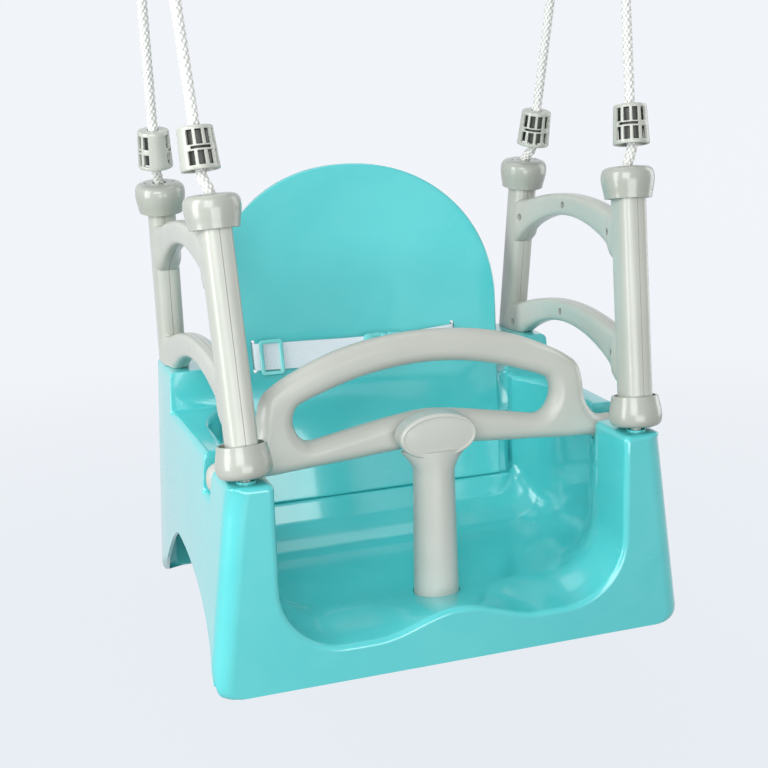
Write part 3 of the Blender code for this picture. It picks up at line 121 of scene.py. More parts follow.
def smooth_curve(points: Sequence[Vec], per_span: int, closed: bool = False) -> Array:
    """A centripetal Catmull-Rom curve: between two points the curve is the blend of the blends of straight
    runs through the four points round them, with knots spaced by the square root of the distance.

    Args:
        points: The points that the curve runs through.
        per_span: How many pieces each span is split into.
        closed: Whether the curve returns to its first point.

    Returns:
        The curve's points, one row each.
    """
    route = np.asarray(points, float)
    if closed:
        padded = np.vstack([route[-1], route, route[:2]])
    else:
        padded = np.vstack([2 * route[0] - route[1], route, 2 * route[-1] - route[-2]])
    gap = np.sqrt(np.linalg.norm(np.diff(padded, axis=0), axis=1))
    knots = np.concatenate([[0.0], np.cumsum(gap)])
    spans = len(padded) - 3
    share = np.arange(per_span) / per_span
    k = [knots[i : spans + i][:, None] for i in range(4)]
    t = k[1] + (k[2] - k[1]) * share
    t = t[:, :, None]
    k = [v[:, :, None] for v in k]
    p = [padded[i : spans + i][:, None, :] for i in range(4)]
    a = [((k[i + 1] - t) * p[i] + (t - k[i]) * p[i + 1]) / (k[i + 1] - k[i]) for i in range(3)]
    b = [((k[i + 2] - t) * a[i] + (t - k[i]) * a[i + 1]) / (k[i + 2] - k[i]) for i in range(2)]
    curve = (((k[2] - t) * b[0] + (t - k[1]) * b[1]) / (k[2] - k[1])).reshape(-1, route.shape[1])
    return curve if closed else np.vstack([curve, route[-1]])


def resampled(curve: Array, count: int, closed: bool = False) -> Array:
    """A curve at equal steps of its own length.

    Args:
        curve: The curve's points.
        count: How many points to return.
        closed: Whether the curve returns to its first point, which is then not repeated.

    Returns:
        The points at equal steps.
    """
    if closed:
        curve = np.vstack([curve, curve[:1]])
    length = np.concatenate([[0.0], np.cumsum(np.linalg.norm(np.diff(curve, axis=0), axis=1))])
    at = np.linspace(0.0, length[-1], count, endpoint=not closed)
    return np.stack([np.interp(at, length, curve[:, i]) for i in range(curve.shape[1])], 1)


def softened(curve: Array, radius: float) -> Array:
    """A line with its corners rounded: each point is the mean of its neighbours, weighted by a bell curve of
    their distance along the line, so that straight runs stay straight.

    Args:
        curve: Points of an open line.
        radius: About the radius that a square corner gets.

    Returns:
        The rounded line, point for point, with its ends kept.
    """
    spread = 0.5 * radius
    first, last = curve[0] - curve[1], curve[-1] - curve[-2]
    reach = np.linspace(4.0 * radius, 0.25 * radius, 12)
    before = curve[0] + reach[:, None] * first / max(np.linalg.norm(first), 1e-9)
    after = curve[-1] + reach[::-1, None] * last / max(np.linalg.norm(last), 1e-9)
    padded = np.vstack([before, curve, after])
    length = np.concatenate([[0.0], np.cumsum(np.linalg.norm(np.diff(padded, axis=0), axis=1))])
    fine = np.linspace(0.0, length[-1], int(length[-1] / (0.2 * radius)) + 2)
    line = np.stack([np.interp(fine, length, padded[:, i]) for i in range(curve.shape[1])], 1)
    at = length[len(before) : len(before) + len(curve)]
    weight = np.exp(-0.5 * ((at[:, None] - fine[None, :]) / spread) ** 2)
    rounded = weight @ line / weight.sum(1, keepdims=True)
    rounded[[0, -1]] = curve[[0, -1]]
    return rounded


def on_side(points: Array, sign: float) -> Array:
    """Points or directions of the right-hand side, mirrored where the sign is -1."""
    return np.asarray(points) * np.array([sign, 1.0, 1.0])


def smoothstep(value: Array) -> Array:
    """Zero below 0, one above 1, and three squares less two cubes between."""
    value = np.clip(value, 0.0, 1.0)
    return value * value * (3 - 2 * value)


def turned(profile: Sequence[Vec], axis: Vec, base: Vec, steps: int) -> tuple[Array, Array]:
    """A closed profile of (radius, height) turned about an axis: base + height times the axis + radius times
    a direction that goes round it.

    Args:
        profile: Radius and height of each point, going round the section.
        axis: Direction of the axis.
        base: The point at height zero.
        steps: How many copies of the profile go round.

    Returns:
        The points and the faces.
    """
    axis = unit(axis)
    side = unit(np.cross(BACK if abs(axis[1]) < 0.9 else UP, axis))
    other = np.cross(axis, side)
    angle = np.linspace(0.0, math.tau, steps, endpoint=False)[:, None, None]
    profile = np.asarray(profile, float)
    out = np.cos(angle) * side + np.sin(angle) * other
    points = np.asarray(base, float) + profile[None, :, :1] * out + profile[None, :, 1:] * axis
    return points.reshape(-1, 3), grid_faces(steps, len(profile), True, True)


def rounded_loop(corners: Sequence[tuple[float, float, float]], steps: int = 6) -> Array:
    """A closed outline whose corners are rounded: at each corner an arc touches both runs, its centre on the
    line that halves the corner.

    Args:
        corners: For each corner its two coordinates and its radius.
        steps: How many points each rounded corner has.

    Returns:
        The outline's points.
    """
    found = []
    places = np.array([c[:2] for c in corners])
    for i, (*_, radius) in enumerate(corners):
        here = places[i]
        back, ahead = unit(places[i - 1] - here), unit(places[(i + 1) % len(places)] - here)
        if radius <= 0:
            found.append(here[None, :])
            continue
        half = 0.5 * math.acos(float(np.clip(back @ ahead, -1.0, 1.0)))
        centre = here + unit(back + ahead) * radius / math.sin(half)
        start, end = (here + way * radius / math.tan(half) - centre for way in (back, ahead))
        share = np.linspace(0.0, 1.0, steps)[:, None]
        sweep = start * (1 - share) + end * share
        found.append(centre + radius * sweep / np.linalg.norm(sweep, axis=1, keepdims=True))
    return np.vstack(found)


def lofted(rings: Array) -> tuple[Array, list[list[int]]]:
    """Closed rings of points joined in turn, with a flat face on the first and the last.

    Args:
        rings: The rings' points, one row for each ring.

    Returns:
        The points and the faces.
    """
    rows, count = rings.shape[:2]
    faces = grid_faces(rows, count, False, True).tolist()
    faces += [list(range(count - 1, -1, -1)), list(range((rows - 1) * count, rows * count))]
    return rings.reshape(-1, 3), faces


def swept(section: Array, path: Array, across: Array, up: Array) -> tuple[Array, list[list[int]]]:
    """A section carried along a path: each path point plus the section's first coordinate along the across
    direction and the second along the up direction.

    Args:
        section: The section's closed outline.
        path: Points of the path.
        across: A unit vector, for the whole path or for each point.
        up: Another.

    Returns:
        The points and the faces, ends included.
    """
    across, up = (np.broadcast_to(v, path.shape)[:, None, :] for v in (across, up))
    return lofted(path[:, None, :] + section[None, :, :1] * across + section[None, :, 1:] * up)


# Pieces


def add_object(name: str, data: bpy.types.ID) -> Piece:
    """Adds an object with its data to the scene."""
    made = bpy.data.objects.new(name, data)
    bpy.context.scene.collection.objects.link(made)
    return made


def new_mesh(name: str, points: Array, faces: Iterable[Sequence[int]]) -> Piece:
    """A mesh object at the row's origin from points given from the datum.

    Args:
        name: The object's name.
        points: Its points, one row each.
        faces: Point numbers of each face.

    Returns:
        The object, with its faces pointing outwards.
    """
    mesh = bpy.data.meshes.new(name)
    quads = faces.tolist() if isinstance(faces, np.ndarray) else [list(f) for f in faces]
    mesh.from_pydata((np.asarray(points, float) + DATUM).tolist(), [], quads)
    made = add_object(name, mesh)
    face_outwards(made)
    return made


def points_of(made: Piece) -> Array:
    """A piece's points as its mesh now has them, seen from the datum."""
    places = np.empty(3 * len(made.data.vertices), np.float32)
    made.data.vertices.foreach_get("co", places)
    return places.reshape(-1, 3) - DATUM


def face_outwards(made: Piece, merge: float = 1e-6) -> None:
    """Merges doubles and turns a closed mesh's faces outwards.

    Args:
        made: The object.
        merge: Distance under which points are merged.
    """
    work = bmesh.new()
    work.from_mesh(made.data)
    bmesh.ops.remove_doubles(work, verts=work.verts, dist=merge)
    bmesh.ops.dissolve_degenerate(work, edges=work.edges, dist=1e-7)
    bmesh.ops.recalc_face_normals(work, faces=work.faces)
    if work.calc_volume(signed=True) < 0:
        bmesh.ops.reverse_faces(work, faces=work.faces)
    work.to_mesh(made.data)
    work.free()


def apply_modifiers(made: Piece) -> None:
    """Puts what the modifiers make into the mesh.

    Args:
        made: The object.
    """
    bpy.context.view_layer.update()
    graph = bpy.context.evaluated_depsgraph_get()
    mesh = bpy.data.meshes.new_from_object(made.evaluated_get(graph))
    made.modifiers.clear()
    made.data = mesh


class Join(Enum):
    """How one solid is combined with another."""

    CUT = "DIFFERENCE"
    ADD = "UNION"


def combine(made: Piece, others: Sequence[Piece], how: Join) -> None:
    """Joins or cuts a solid with others, which are used up.

    Args:
        made: The solid that stays.
        others: The solids that it is combined with.
        how: Whether they are cut away or added.
    """
    for other in others:
        modifier = made.modifiers.new(how.name.lower(), "BOOLEAN")
        modifier.operation = how.value
        modifier.object = other
        modifier.solver = "EXACT"
    apply_modifiers(made)
    for other in others:
        bpy.data.objects.remove(other, do_unlink=True)


def soften_edges(made: Piece, width: float, segments: int = 2, angle: float = 40.0) -> None:
    """Rounds a solid's sharp edges.

    Args:
        made: The solid.
        width: How wide the rounding is.
        segments: How many faces it has across.
        angle: Edges sharper than this many degrees are rounded.
    """
    modifier = made.modifiers.new("edges", "BEVEL")
    modifier.width = width
    modifier.segments = segments
    modifier.limit_method = "ANGLE"
    modifier.angle_limit = math.radians(angle)
    modifier.harden_normals = False
    modifier.use_clamp_overlap = True
    apply_modifiers(made)


def fit(made: Piece, body: str, finish: "Finish", *nodes: str, smooth: float = SMOOTH_ANGLE) -> Piece:
    """Dresses a finished piece and puts it on its body.

    Args:
        made: The piece.
        body: The body that it moves with.
        finish: Its finish, whose material the piece gets.
        *nodes: The CAD nodes that it stands for.
        smooth: Edges sharper than this angle stay sharp.

    Returns:
        The piece.
    """
    made.data.materials.clear()
    made.data.materials.append(finish.material())
    made.data.shade_smooth()
    made.data.set_sharp_from_angle(angle=smooth)
    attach(made, body)
    if nodes:
        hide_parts(*nodes)
    LOG.info("%s on %s, %d faces", made.name, body, len(made.data.polygons))
    return made


# Finishes


def linear(code: str) -> tuple[float, float, float, float]:
    """A hex colour as Blender's shaders take it.

    Args:
        code: An sRGB colour such as "#6ECFCF".

    Returns:
        Linear red, green, blue and an alpha of one.
    """
    parts = [int(code[i : i + 2], 16) / 255 for i in (1, 3, 5)]
    parts = [c / 12.92 if c <= 0.04045 else ((c + 0.055) / 1.055) ** 2.4 for c in parts]
    return (*parts, 1.0)


def wire(node: bpy.types.Node, values: dict, links: dict) -> None:
    """Sets a node's inputs.

    Args:
        node: The node.
        values: Values of inputs, by name or number.
        links: Output sockets that inputs are linked to.
    """
    for key, value in values.items():
        node.inputs[key].default_value = value
    for key, source in links.items():
        node.id_data.links.new(source, node.inputs[key])


def add_node(tree: bpy.types.NodeTree, kind: str, values: dict | None = None, links: dict | None = None,
             stops: Sequence[tuple[float, str]] = (), **settings: object) -> bpy.types.Node:
    """Adds a node with its settings and links.

    Args:
        tree: The material's node tree.
        kind: The node's type, without its prefix.
        values: Values of its inputs.
        links: Output sockets that its inputs are linked to.
        stops: Places and hex colours of a colour ramp.
        **settings: The node's own properties.

    Returns:
        The node.
    """
    node = tree.nodes.new(f"ShaderNode{kind}")
    for name, value in settings.items():
        setattr(node, name, value)
    for index, (place, colour) in enumerate(stops):
        node.color_ramp.elements[index].position = place
        node.color_ramp.elements[index].color = linear(colour)
    wire(node, values or {}, links or {})
    return node


def per_metre(size_mm: float) -> float:
    """A texture scale at which one cell is about size_mm across on Object coordinates in metres."""
    return 1000.0 / size_mm


def start_material(name: str) -> tuple[bpy.types.Material, bpy.types.NodeTree, bpy.types.Node]:
    """A material with its Principled shader.

    Args:
        name: The material's name.

    Returns:
        The material, its node tree and the shader.
    """
    material = bpy.data.materials.new(name)
    material.use_nodes = True
    tree = material.node_tree
    return material, tree, tree.nodes["Principled BSDF"]


def relief(tree: bpy.types.NodeTree, height: bpy.types.NodeSocket, depth_mm: float,
           under: bpy.types.NodeSocket | None = None) -> bpy.types.NodeSocket:
    """A bump of a real depth.

    Args:
        tree: The material's node tree.
        height: Height from 0 to 1.
        depth_mm: Depth of the relief.
        under: A normal that it lies on.

    Returns:
        The bumped normal.
    """
    links = {"Height": height} if under is None else {"Height": height, "Normal": under}
    return add_node(tree, "Bump", {"Distance": depth_mm / 1000, "Strength": 1.0}, links).outputs["Normal"]


@dataclass(frozen=True)
class MouldedPlastic:
    """Injection-moulded polypropylene: even colour right through, a skin that ripples very slightly where the
    melt shrank, faint flow shades, and fine rubbing marks that dull the gloss in patches."""

    name: str
    colour: str
    flow_colour: str  # slightly different shade where the melt met
    roughness: float
    coat: float  # share of a clear gloss from the polished mould
    ripple_mm: float = 9.0
    ripple_depth_mm: float = 0.02
    grain_mm: float = 0.7  # finer in fact, and drawn as coarse as shows
    grain_depth_mm: float = 0.004
    rub: float = 0.12  # how much rubbing adds to the roughness
    coat_roughness: float = 0.08
    flow_mm: float = 70.0
    rub_mm: float = 14.0
    ior: float = 1.49

    def make(self) -> bpy.types.Material:
        """Builds the material.

        Returns:
            The material.
        """
        material, tree, shader = start_material(self.name)
        place = add_node(tree, "TexCoord").outputs["Object"]
        flow = add_node(tree, "TexNoise",
                        {"Scale": per_metre(self.flow_mm), "Detail": 2.0, "Distortion": 0.8},
                        {"Vector": place})
        shade = add_node(tree, "ValToRGB", None, {"Fac": flow.outputs["Fac"]},
                         ((0.35, self.colour), (0.7, self.flow_colour)))
        marks = add_node(tree, "TexNoise", {"Scale": per_metre(self.rub_mm), "Detail": 6.0, "Roughness": 0.7},
                         {"Vector": place})
        dull = add_node(tree, "MapRange",
                        {"From Min": 0.5, "From Max": 0.8, "To Min": self.roughness,
                         "To Max": self.roughness + self.rub},
                        {"Value": marks.outputs["Fac"]})
        ripple = add_node(tree, "TexNoise", {"Scale": per_metre(self.ripple_mm), "Detail": 1.0},
                          {"Vector": place})
        grain = add_node(tree, "TexNoise", {"Scale": per_metre(self.grain_mm), "Detail": 2.0},
                         {"Vector": place})
        normal = relief(tree, ripple.outputs["Fac"], self.ripple_depth_mm)
        normal = relief(tree, grain.outputs["Fac"], self.grain_depth_mm, normal)
        wire(shader, {"IOR": self.ior, "Coat Weight": self.coat, "Coat Roughness": self.coat_roughness},
             {"Base Color": shade.outputs["Color"], "Roughness": dull.outputs["Result"], "Normal": normal})
        return material


@dataclass(frozen=True)
class BraidedRope:
    """Braided polypropylene rope: bright white strands of parallel filaments that catch a soft sheen on their
    crowns, with painted shade that greys the valleys between them, and a few stray fibres."""

    name: str
    crown: str
    # colour of the painted shade in the valleys between the strands
    valley_shade: str
    filament_mm: float = 0.55  # real filaments are finer, and drawn as coarse as shows
    filament_depth_mm: float = 0.12
    filament_turn: float = 0.6  # how far the filaments lie off the rope's own direction
    soil_mm: float = 20.0

    def make(self) -> bpy.types.Material:
        """Builds the material. UV runs along the rope and round it, in millimetres.

        Returns:
            The material.
        """
        material, tree, shader = start_material(self.name)
        uv = add_node(tree, "TexCoord").outputs["UV"]
        height = add_node(tree, "Attribute", attribute_name="strand").outputs["Fac"]
        stretch = add_node(tree, "Mapping",
                           {"Rotation": (0.0, 0.0, self.filament_turn), "Scale": (0.25, 1.0, 1.0)},
                           {"Vector": uv})
        fibre = add_node(tree, "TexNoise", {"Scale": 1.0 / self.filament_mm, "Detail": 3.0},
                         {"Vector": stretch.outputs["Vector"]})
        soil = add_node(tree, "TexNoise", {"Scale": 1.0 / self.soil_mm, "Detail": 3.0}, {"Vector": uv})
        # painted shade: the valleys take the darker colour and the crowns the white
        shade = add_node(tree, "ValToRGB", None, {"Fac": height}, ((0.0, self.valley_shade), (0.6, self.crown)))
        grime = add_node(tree, "MapRange",
                         {"From Min": 0.3, "From Max": 0.75, "To Min": 1.0, "To Max": 0.94},
                         {"Value": soil.outputs["Fac"]})
        colour = add_node(tree, "VectorMath", None,
                          {0: shade.outputs["Color"], "Scale": grime.outputs["Result"]}, operation="SCALE")
        wire(shader, {"Roughness": 0.62, "Sheen Weight": 0.25, "Sheen Roughness": 0.4},
             {"Base Color": colour.outputs["Vector"],
              "Normal": relief(tree, fibre.outputs["Fac"], self.filament_depth_mm)})
        return material


@dataclass(frozen=True)
class WovenWebbing:
    """Woven polyester webbing: fine ribs across its length where the weft turns over the warp, painted shade
    in the gaps between the threads, a tighter edge on both sides, and a soft sheen."""

    name: str
    thread: str
    # colour of the painted shade in the gaps between the threads
    gap: str
    rib_mm: float = 1.3
    warp_mm: float = 1.6
    depth_mm: float = 0.16
    bands: float = 0.314  # scale at which a wave texture has one band in a unit

    def make(self) -> bpy.types.Material:
        """Builds the material. UV runs along the webbing and across it, in millimetres.

        Returns:
            The material.
        """
        material, tree, shader = start_material(self.name)
        uv = add_node(tree, "TexCoord").outputs["UV"]
        ribs = add_node(tree, "TexWave", {"Scale": self.bands / self.rib_mm, "Distortion": 0.6,
                                          "Detail": 1.0},
                        {"Vector": uv}, wave_type="BANDS", bands_direction="X")
        warp = add_node(tree, "TexWave", {"Scale": self.bands / self.warp_mm, "Distortion": 0.3},
                        {"Vector": uv},
                        wave_type="BANDS", bands_direction="Y")
        weave = add_node(tree, "Math", None, {0: ribs.outputs["Fac"], 1: warp.outputs["Fac"]},
                         operation="MULTIPLY")
        # painted shade: the gaps of the weave take the darker colour
        shade = add_node(tree, "ValToRGB", None, {"Fac": weave.outputs["Value"]},
                         ((0.0, self.gap), (0.4, self.thread)))
        wire(shader, {"Roughness": 0.7, "Sheen Weight": 0.2},
             {"Base Color": shade.outputs["Color"],
              "Normal": relief(tree, weave.outputs["Value"], self.depth_mm)})
        return material


@dataclass(frozen=True)
class ZincSteel:
    """Zinc-plated steel, drawn or stamped and barrel plated: a dull silver with cloudy patches and fine
    random scratches from the barrel."""

    name: str
    colour: str
    cloud: str
    roughness: float = 0.3
    cloud_mm: float = 6.0
    scratch_mm: float = 0.6
    scratch_depth_mm: float = 0.008

    def make(self) -> bpy.types.Material:
        """Builds the material.

        Returns:
            The material.
        """
        material, tree, shader = start_material(self.name)
        place = add_node(tree, "TexCoord").outputs["Object"]
        clouds = add_node(tree, "TexNoise", {"Scale": per_metre(self.cloud_mm), "Detail": 4.0},
                          {"Vector": place})
        scratches = add_node(tree, "TexNoise", {"Scale": per_metre(self.scratch_mm), "Detail": 2.0,
                                                "Distortion": 2.0},
                             {"Vector": place})
        shade = add_node(tree, "ValToRGB", None, {"Fac": clouds.outputs["Fac"]},
                         ((0.3, self.colour), (0.7, self.cloud)))
        rough = add_node(tree, "MapRange", {"To Min": self.roughness - 0.08, "To Max": self.roughness + 0.18},
                         {"Value": clouds.outputs["Fac"]})
        normal = relief(tree, scratches.outputs["Fac"], self.scratch_depth_mm)
        wire(shader, {"Metallic": 1.0},
             {"Base Color": shade.outputs["Color"], "Roughness": rough.outputs["Result"], "Normal": normal})
        return material


@dataclass(frozen=True)
class StagePaint:
    """Matt studio paper that the camera and the object's reflections see at its own pale colour, with painted
    shade that darkens it near the object, and the object's soft shadow left on it."""

    name: str
    near_shade_colour: str
    far_colour: str
    own_light: float  # share of the colour that doesn't depend on the lamps
    near: float = 0.4  # distances from the model's origin between which the colour changes
    far: float = 2.8

    def make(self) -> bpy.types.Material:
        """Builds the material.

        Returns:
            The material.
        """
        material, tree, shader = start_material(self.name)
        path = add_node(tree, "LightPath").outputs
        sees = add_node(tree, "Math", None, {0: path["Is Camera Ray"], 1: path["Is Glossy Ray"]},
                        operation="MAXIMUM")
        sees = add_node(tree, "Math", None, {0: sees.outputs["Value"], 1: path["Is Transmission Ray"]},
                        operation="MAXIMUM")
        level = add_node(tree, "Math", {1: self.own_light}, {0: sees.outputs["Value"]}, operation="MULTIPLY")
        place = add_node(tree, "TexCoord").outputs["Object"]
        away = add_node(tree, "VectorMath", None, {0: place}, operation="LENGTH")
        share = add_node(tree, "MapRange", {"From Min": self.near, "From Max": self.far},
                         {"Value": away.outputs["Value"]})
        # painted shade: the paper is darker near the object and fades to its own colour further off
        shade = add_node(tree, "ValToRGB", None, {"Fac": share.outputs["Result"]},
                         ((0.0, self.near_shade_colour), (1.0, self.far_colour)))
        lit = add_node(tree, "VectorMath", {"Scale": 1.05 - self.own_light}, {0: shade.outputs["Color"]},
                       operation="SCALE")
        wire(shader, {"Roughness": 1.0, "Specular IOR Level": 0.0},
             {"Base Color": lit.outputs["Vector"], "Emission Color": shade.outputs["Color"],
              "Emission Strength": level.outputs["Value"]})
        return material


class Finish(Enum):
    """The finishes of the seat's pieces, each with its material slot."""

    TURQUOISE = "turquoise_plastic", MouldedPlastic("turquoise_polypropylene", "#4FCACD", "#58CED0", 0.2, 0.8)
    BUCKLE = "turquoise_plastic", MouldedPlastic("turquoise_acetal", "#6FD0CF", "#78D6D5", 0.28, 0.2,
                                                 ripple_mm=4.0)
    FRAME = "frame_grey_plastic", MouldedPlastic("light_grey_polypropylene", "#BBBFB6", "#C0C4BB", 0.28, 0.2,
                                                 grain_depth_mm=0.0015, coat_roughness=0.2)
    CAP = "frame_grey_plastic", MouldedPlastic("cap_grey_polypropylene", "#A9AEA4", "#ADB2A9", 0.22, 0.3,
                                               coat_roughness=0.1)
    # a sleeve inside each adjuster, its dark colour painted shade for the shells' hollow
    CORE = "frame_grey_plastic", MouldedPlastic("shade_dark_polyamide", "#474945", "#4C4E4A", 0.45, 0.05)
    GUARD = "guard_grey_plastic", MouldedPlastic("satin_grey_polypropylene", "#C0C3BB", "#C4C7BF", 0.34, 0.12,
                                                 grain_depth_mm=0.01)
    COLUMN = "column_grey_plastic", MouldedPlastic("pale_grey_polypropylene", "#C2C5BE", "#C7CAC3", 0.28, 0.2)
    # the rope's second colour is painted shade for the valleys of its braid
    ROPE = "rope", BraidedRope("white_braided_polypropylene", "#F5F6F1", "#AEB4B5")
    # the webbing's second colour is painted shade for the gaps of its weave
    WEBBING = "webbing", WovenWebbing("white_woven_polyester", "#F4F8FB", "#D8E2EA")
    STEEL = "steel", ZincSteel("zinc_plated_steel", "#9B9C98", "#B3B4B0")
    # the frame screws' dark colour is painted shade for the holes they sit in
    SCREW = "steel", ZincSteel("shade_dark_screw_steel", "#3E3F3D", "#4C4D4A", 0.5)
    # the paper's first colour is painted shade near the object
    PAPER = "paper", StagePaint("pale_studio_paper", "#DBE2E9", "#F5F8FD", 0.93)

    def __init__(self, slot: str, look: MouldedPlastic | BraidedRope | WovenWebbing | ZincSteel | StagePaint):
        """Keeps the slot and the look under their own names."""
        self.slot = slot
        self.look = look

    def material(self) -> bpy.types.Material:
        """The finish's material, made once."""
        return bpy.data.materials.get(self.look.name) or self.look.make()


# Cutters


def rod(base: Vec, axis: Vec, radius: float, length: float,
        mouth: float = 0.0) -> Piece:
    """A round cutter: a circle carried along an axis, wider over its last stretch where a mouth is asked for.

    Args:
        base: The middle of its first end.
        axis: The way it runs.
        radius: Its radius.
        length: Its length.
        mouth: How much wider the last end is.

    Returns:
        The cutter.
    """
    profile = [(0.0, 0.0), (radius, 0.0), (radius, length - 2 * mouth), (radius + mouth, length),
               (0.0, length)]
    return new_mesh("cutter", *turned(profile, axis, base, SOME))


def block(low: Vec, high: Vec, radius: float = 0.0) -> Piece:
    """A cutter between two corners, its edges along Y rounded by a radius.

    Args:
        low: Its lowest corner.
        high: Its highest corner.
        radius: Radius of the edges that run along Y.

    Returns:
        The cutter.
    """
    corners = [(low[0], low[2]), (high[0], low[2]), (high[0], high[2]), (low[0], high[2])]
    loop = rounded_loop([(*c, radius) for c in corners])
    path = np.array([(0.0, low[1], 0.0), (0.0, high[1], 0.0)])
    return new_mesh("cutter", *swept(loop, path, (1.0, 0.0, 0.0), UP))


# Seat tub


@dataclass
class SeatTub:
    """The tub's moulding: one even wall that runs up the outside, over the rims of posts, side walls and
    blocks, down into the well and up over the lip, open below, with an arch cut away under each side."""

    wall: float = TUB_WALL
    front_y: float = -0.004
    depth: float = 0.303
    base_half: float = 0.213
    front_draft: float = 0.133
    rear_half: float = 0.201
    rear_draft: float = 0.045
    post_z: float = POST_Z
    rim_z: float = 0.182
    block_z: float = BLOCK_Z
    notch_z: float = NOTCH_Z
    shelf_z: float = 0.182
    floor_z: float = 0.042
    opening_half: float = 0.153
    opening_corner: float = 0.055
    leg_dip: Pair = (0.074, 0.031)
    hump_z: float = 0.0475
    well: float = 0.168
    well_rear: float = 0.147
    well_turn: Pair = (0.160, 0.217)
    post_back_y: float = 0.045
    post_fade: float = 0.050
    block_front_y: float = BLOCK_FRONT_Y
    step_run: float = 0.0015
    step_round: float = 0.0035
    lip_ease: float = 0.060
    rim_round: float = 0.005
    corner_round: float = 0.016
    notch: Pair = (0.056, 0.084)
    arch_y: Pair = (0.003, 0.178)
    arch_z: float = 0.0795
    rear_foot_z: float = 0.004
    foot_corner: float = 0.012
    ledge_z: float = 0.085
    rear_fillet: float = 0.0375
    ledge_fillet: float = 0.008
    line_pitch: float = 0.0025
    face_rim: float = 0.0006
    socket: tuple[float, float, float] = (0.052, 0.0203, 0.015)  # of the column: depth, bore and floor

    def outer_half(self, y: Array, z: Array) -> Array:
        """Outer half-width: from the front's to the rear's with the depth, each less its draft."""
        back = np.clip((y - self.front_y) / self.depth, 0.0, 1.0)
        front = self.base_half - self.front_draft * z
        return front + (self.rear_half - self.rear_draft * z - front) * back

    def well_half(self, y: Array) -> Array:
        """Half-width of the well: the posts' eased to the side walls', then a quarter cosine inwards."""
        ease = smoothstep((y - self.post_back_y) / self.post_fade)
        wide = self.opening_half + (self.well - self.opening_half) * ease
        turn = np.clip((y - self.well_turn[0]) / (self.well_turn[1] - self.well_turn[0]), 0.0, 1.0)
        return wide - (self.well - self.well_rear) * (1 - np.cos(0.5 * math.pi * turn))

    def lip(self, x: Array) -> Array:
        """Height of the lip across the front: one cosine hump between two level leg dips."""
        share = np.minimum(np.abs(x) / self.leg_dip[0], 1.0)
        return self.leg_dip[1] + (self.hump_z - self.leg_dip[1]) * 0.5 * (1 + np.cos(math.pi * share))

    def floor(self, x: Array, y: Array, level: Array) -> Array:
        """Floor height: the lip's, eased to the level floor over the front of the well."""
        ease = smoothstep((y - self.front_y) / self.lip_ease)
        return self.lip(x) * (1 - ease) + level * ease

    def arch(self, y: Array) -> Array:
        """Lower edge of the sides: a quarter ellipse up to the apex, a half cosine down to the rear."""
        start, apex = self.arch_y
        rise = np.sqrt(np.clip(1 - ((apex - np.clip(y, start, apex)) / (apex - start)) ** 2, 0.0, 1.0))
        back = np.clip((y - apex) / (self.front_y + self.depth - apex), 0.0, 1.0)
        fall = self.rear_foot_z + (self.arch_z - self.rear_foot_z) * 0.5 * (1 + np.cos(math.pi * back))
        return np.where(y <= apex, self.arch_z * rise, fall)

    def backrest_y(self, z: float) -> float:
        """Depth of the backrest's front face."""
        return BACKREST_LINE[0] + BACKREST_LINE[1] * (z - BACKREST_LINE[2])

    def lines(self, inset: float) -> Array:
        """Lines across the tub between its rounded front and rear: side depth, floor depth, floor height, rim
        height and fillet radius, with straight runs between the listed lines and their corners rounded over.

        Args:
            inset: How far the surface lies inside the wall.

        Returns:
            One row for each line.
        """
        ledge_y = self.backrest_y(self.ledge_z)
        shelf_y = self.backrest_y(self.shelf_z) + BACKREST_FLANGE + FIT
        start, end = self.notch[0] - inset, self.notch[1] + inset
        block_y = self.block_front_y + inset
        run, level = self.step_run, self.floor_z
        rows = [(y, y, level, self.post_z, self.opening_corner) for y in (0.016, 0.038)]
        rows += [(start - run, start - run, level, self.post_z, 0.050),
                 (start, start, level, self.notch_z, 0.050)]
        rows += [(end, end, level, self.notch_z, 0.042), (end + run, end + run, level, self.rim_z, 0.042)]
        rows += [(0.125, 0.122, level, self.rim_z, 0.034), (0.160, 0.150, level, self.rim_z, 0.030)]
        for side_y, angle in ((0.178, 0), (0.188, 22.5), (0.197, 45), (0.207, 67.5)):
            s, c = math.sin(math.radians(angle)), math.cos(math.radians(angle))
            floor_y = ledge_y - run - self.rear_fillet * (1 - s)
            rows.append((side_y, floor_y + inset * s, level + self.rear_fillet * (1 - c), self.rim_z, 0.030))
        low = self.ledge_z - FIT
        rows.append((0.217, ledge_y - 0.8 * run + inset, low, self.rim_z, self.ledge_fillet))
        rows.append((block_y, ledge_y + BACKREST_FLANGE + FIT + inset, low, self.rim_z, self.ledge_fillet))
        rows.append((block_y + run, shelf_y + inset, self.shelf_z, self.block_z, self.ledge_fillet))
        rows.append((0.250, shelf_y + 0.006 + inset, self.shelf_z, self.block_z, self.ledge_fillet))
        rows = np.array(rows)
        return softened(self.between(rows), self.step_round)

    def between(self, rows: Array) -> Array:
        """Straight runs between the listed lines, in as many steps whatever the inset."""
        pairs = np.round(np.linalg.norm(np.diff(rows, axis=0), axis=1) / self.line_pitch / 2).astype(int)
        counts = np.maximum(2, pairs * 2)
        parts = [a + (b - a) * (np.arange(n) / n)[:, None] for a, b, n in zip(rows, rows[1:], counts)]
        return np.vstack([*parts, rows[-1:]])

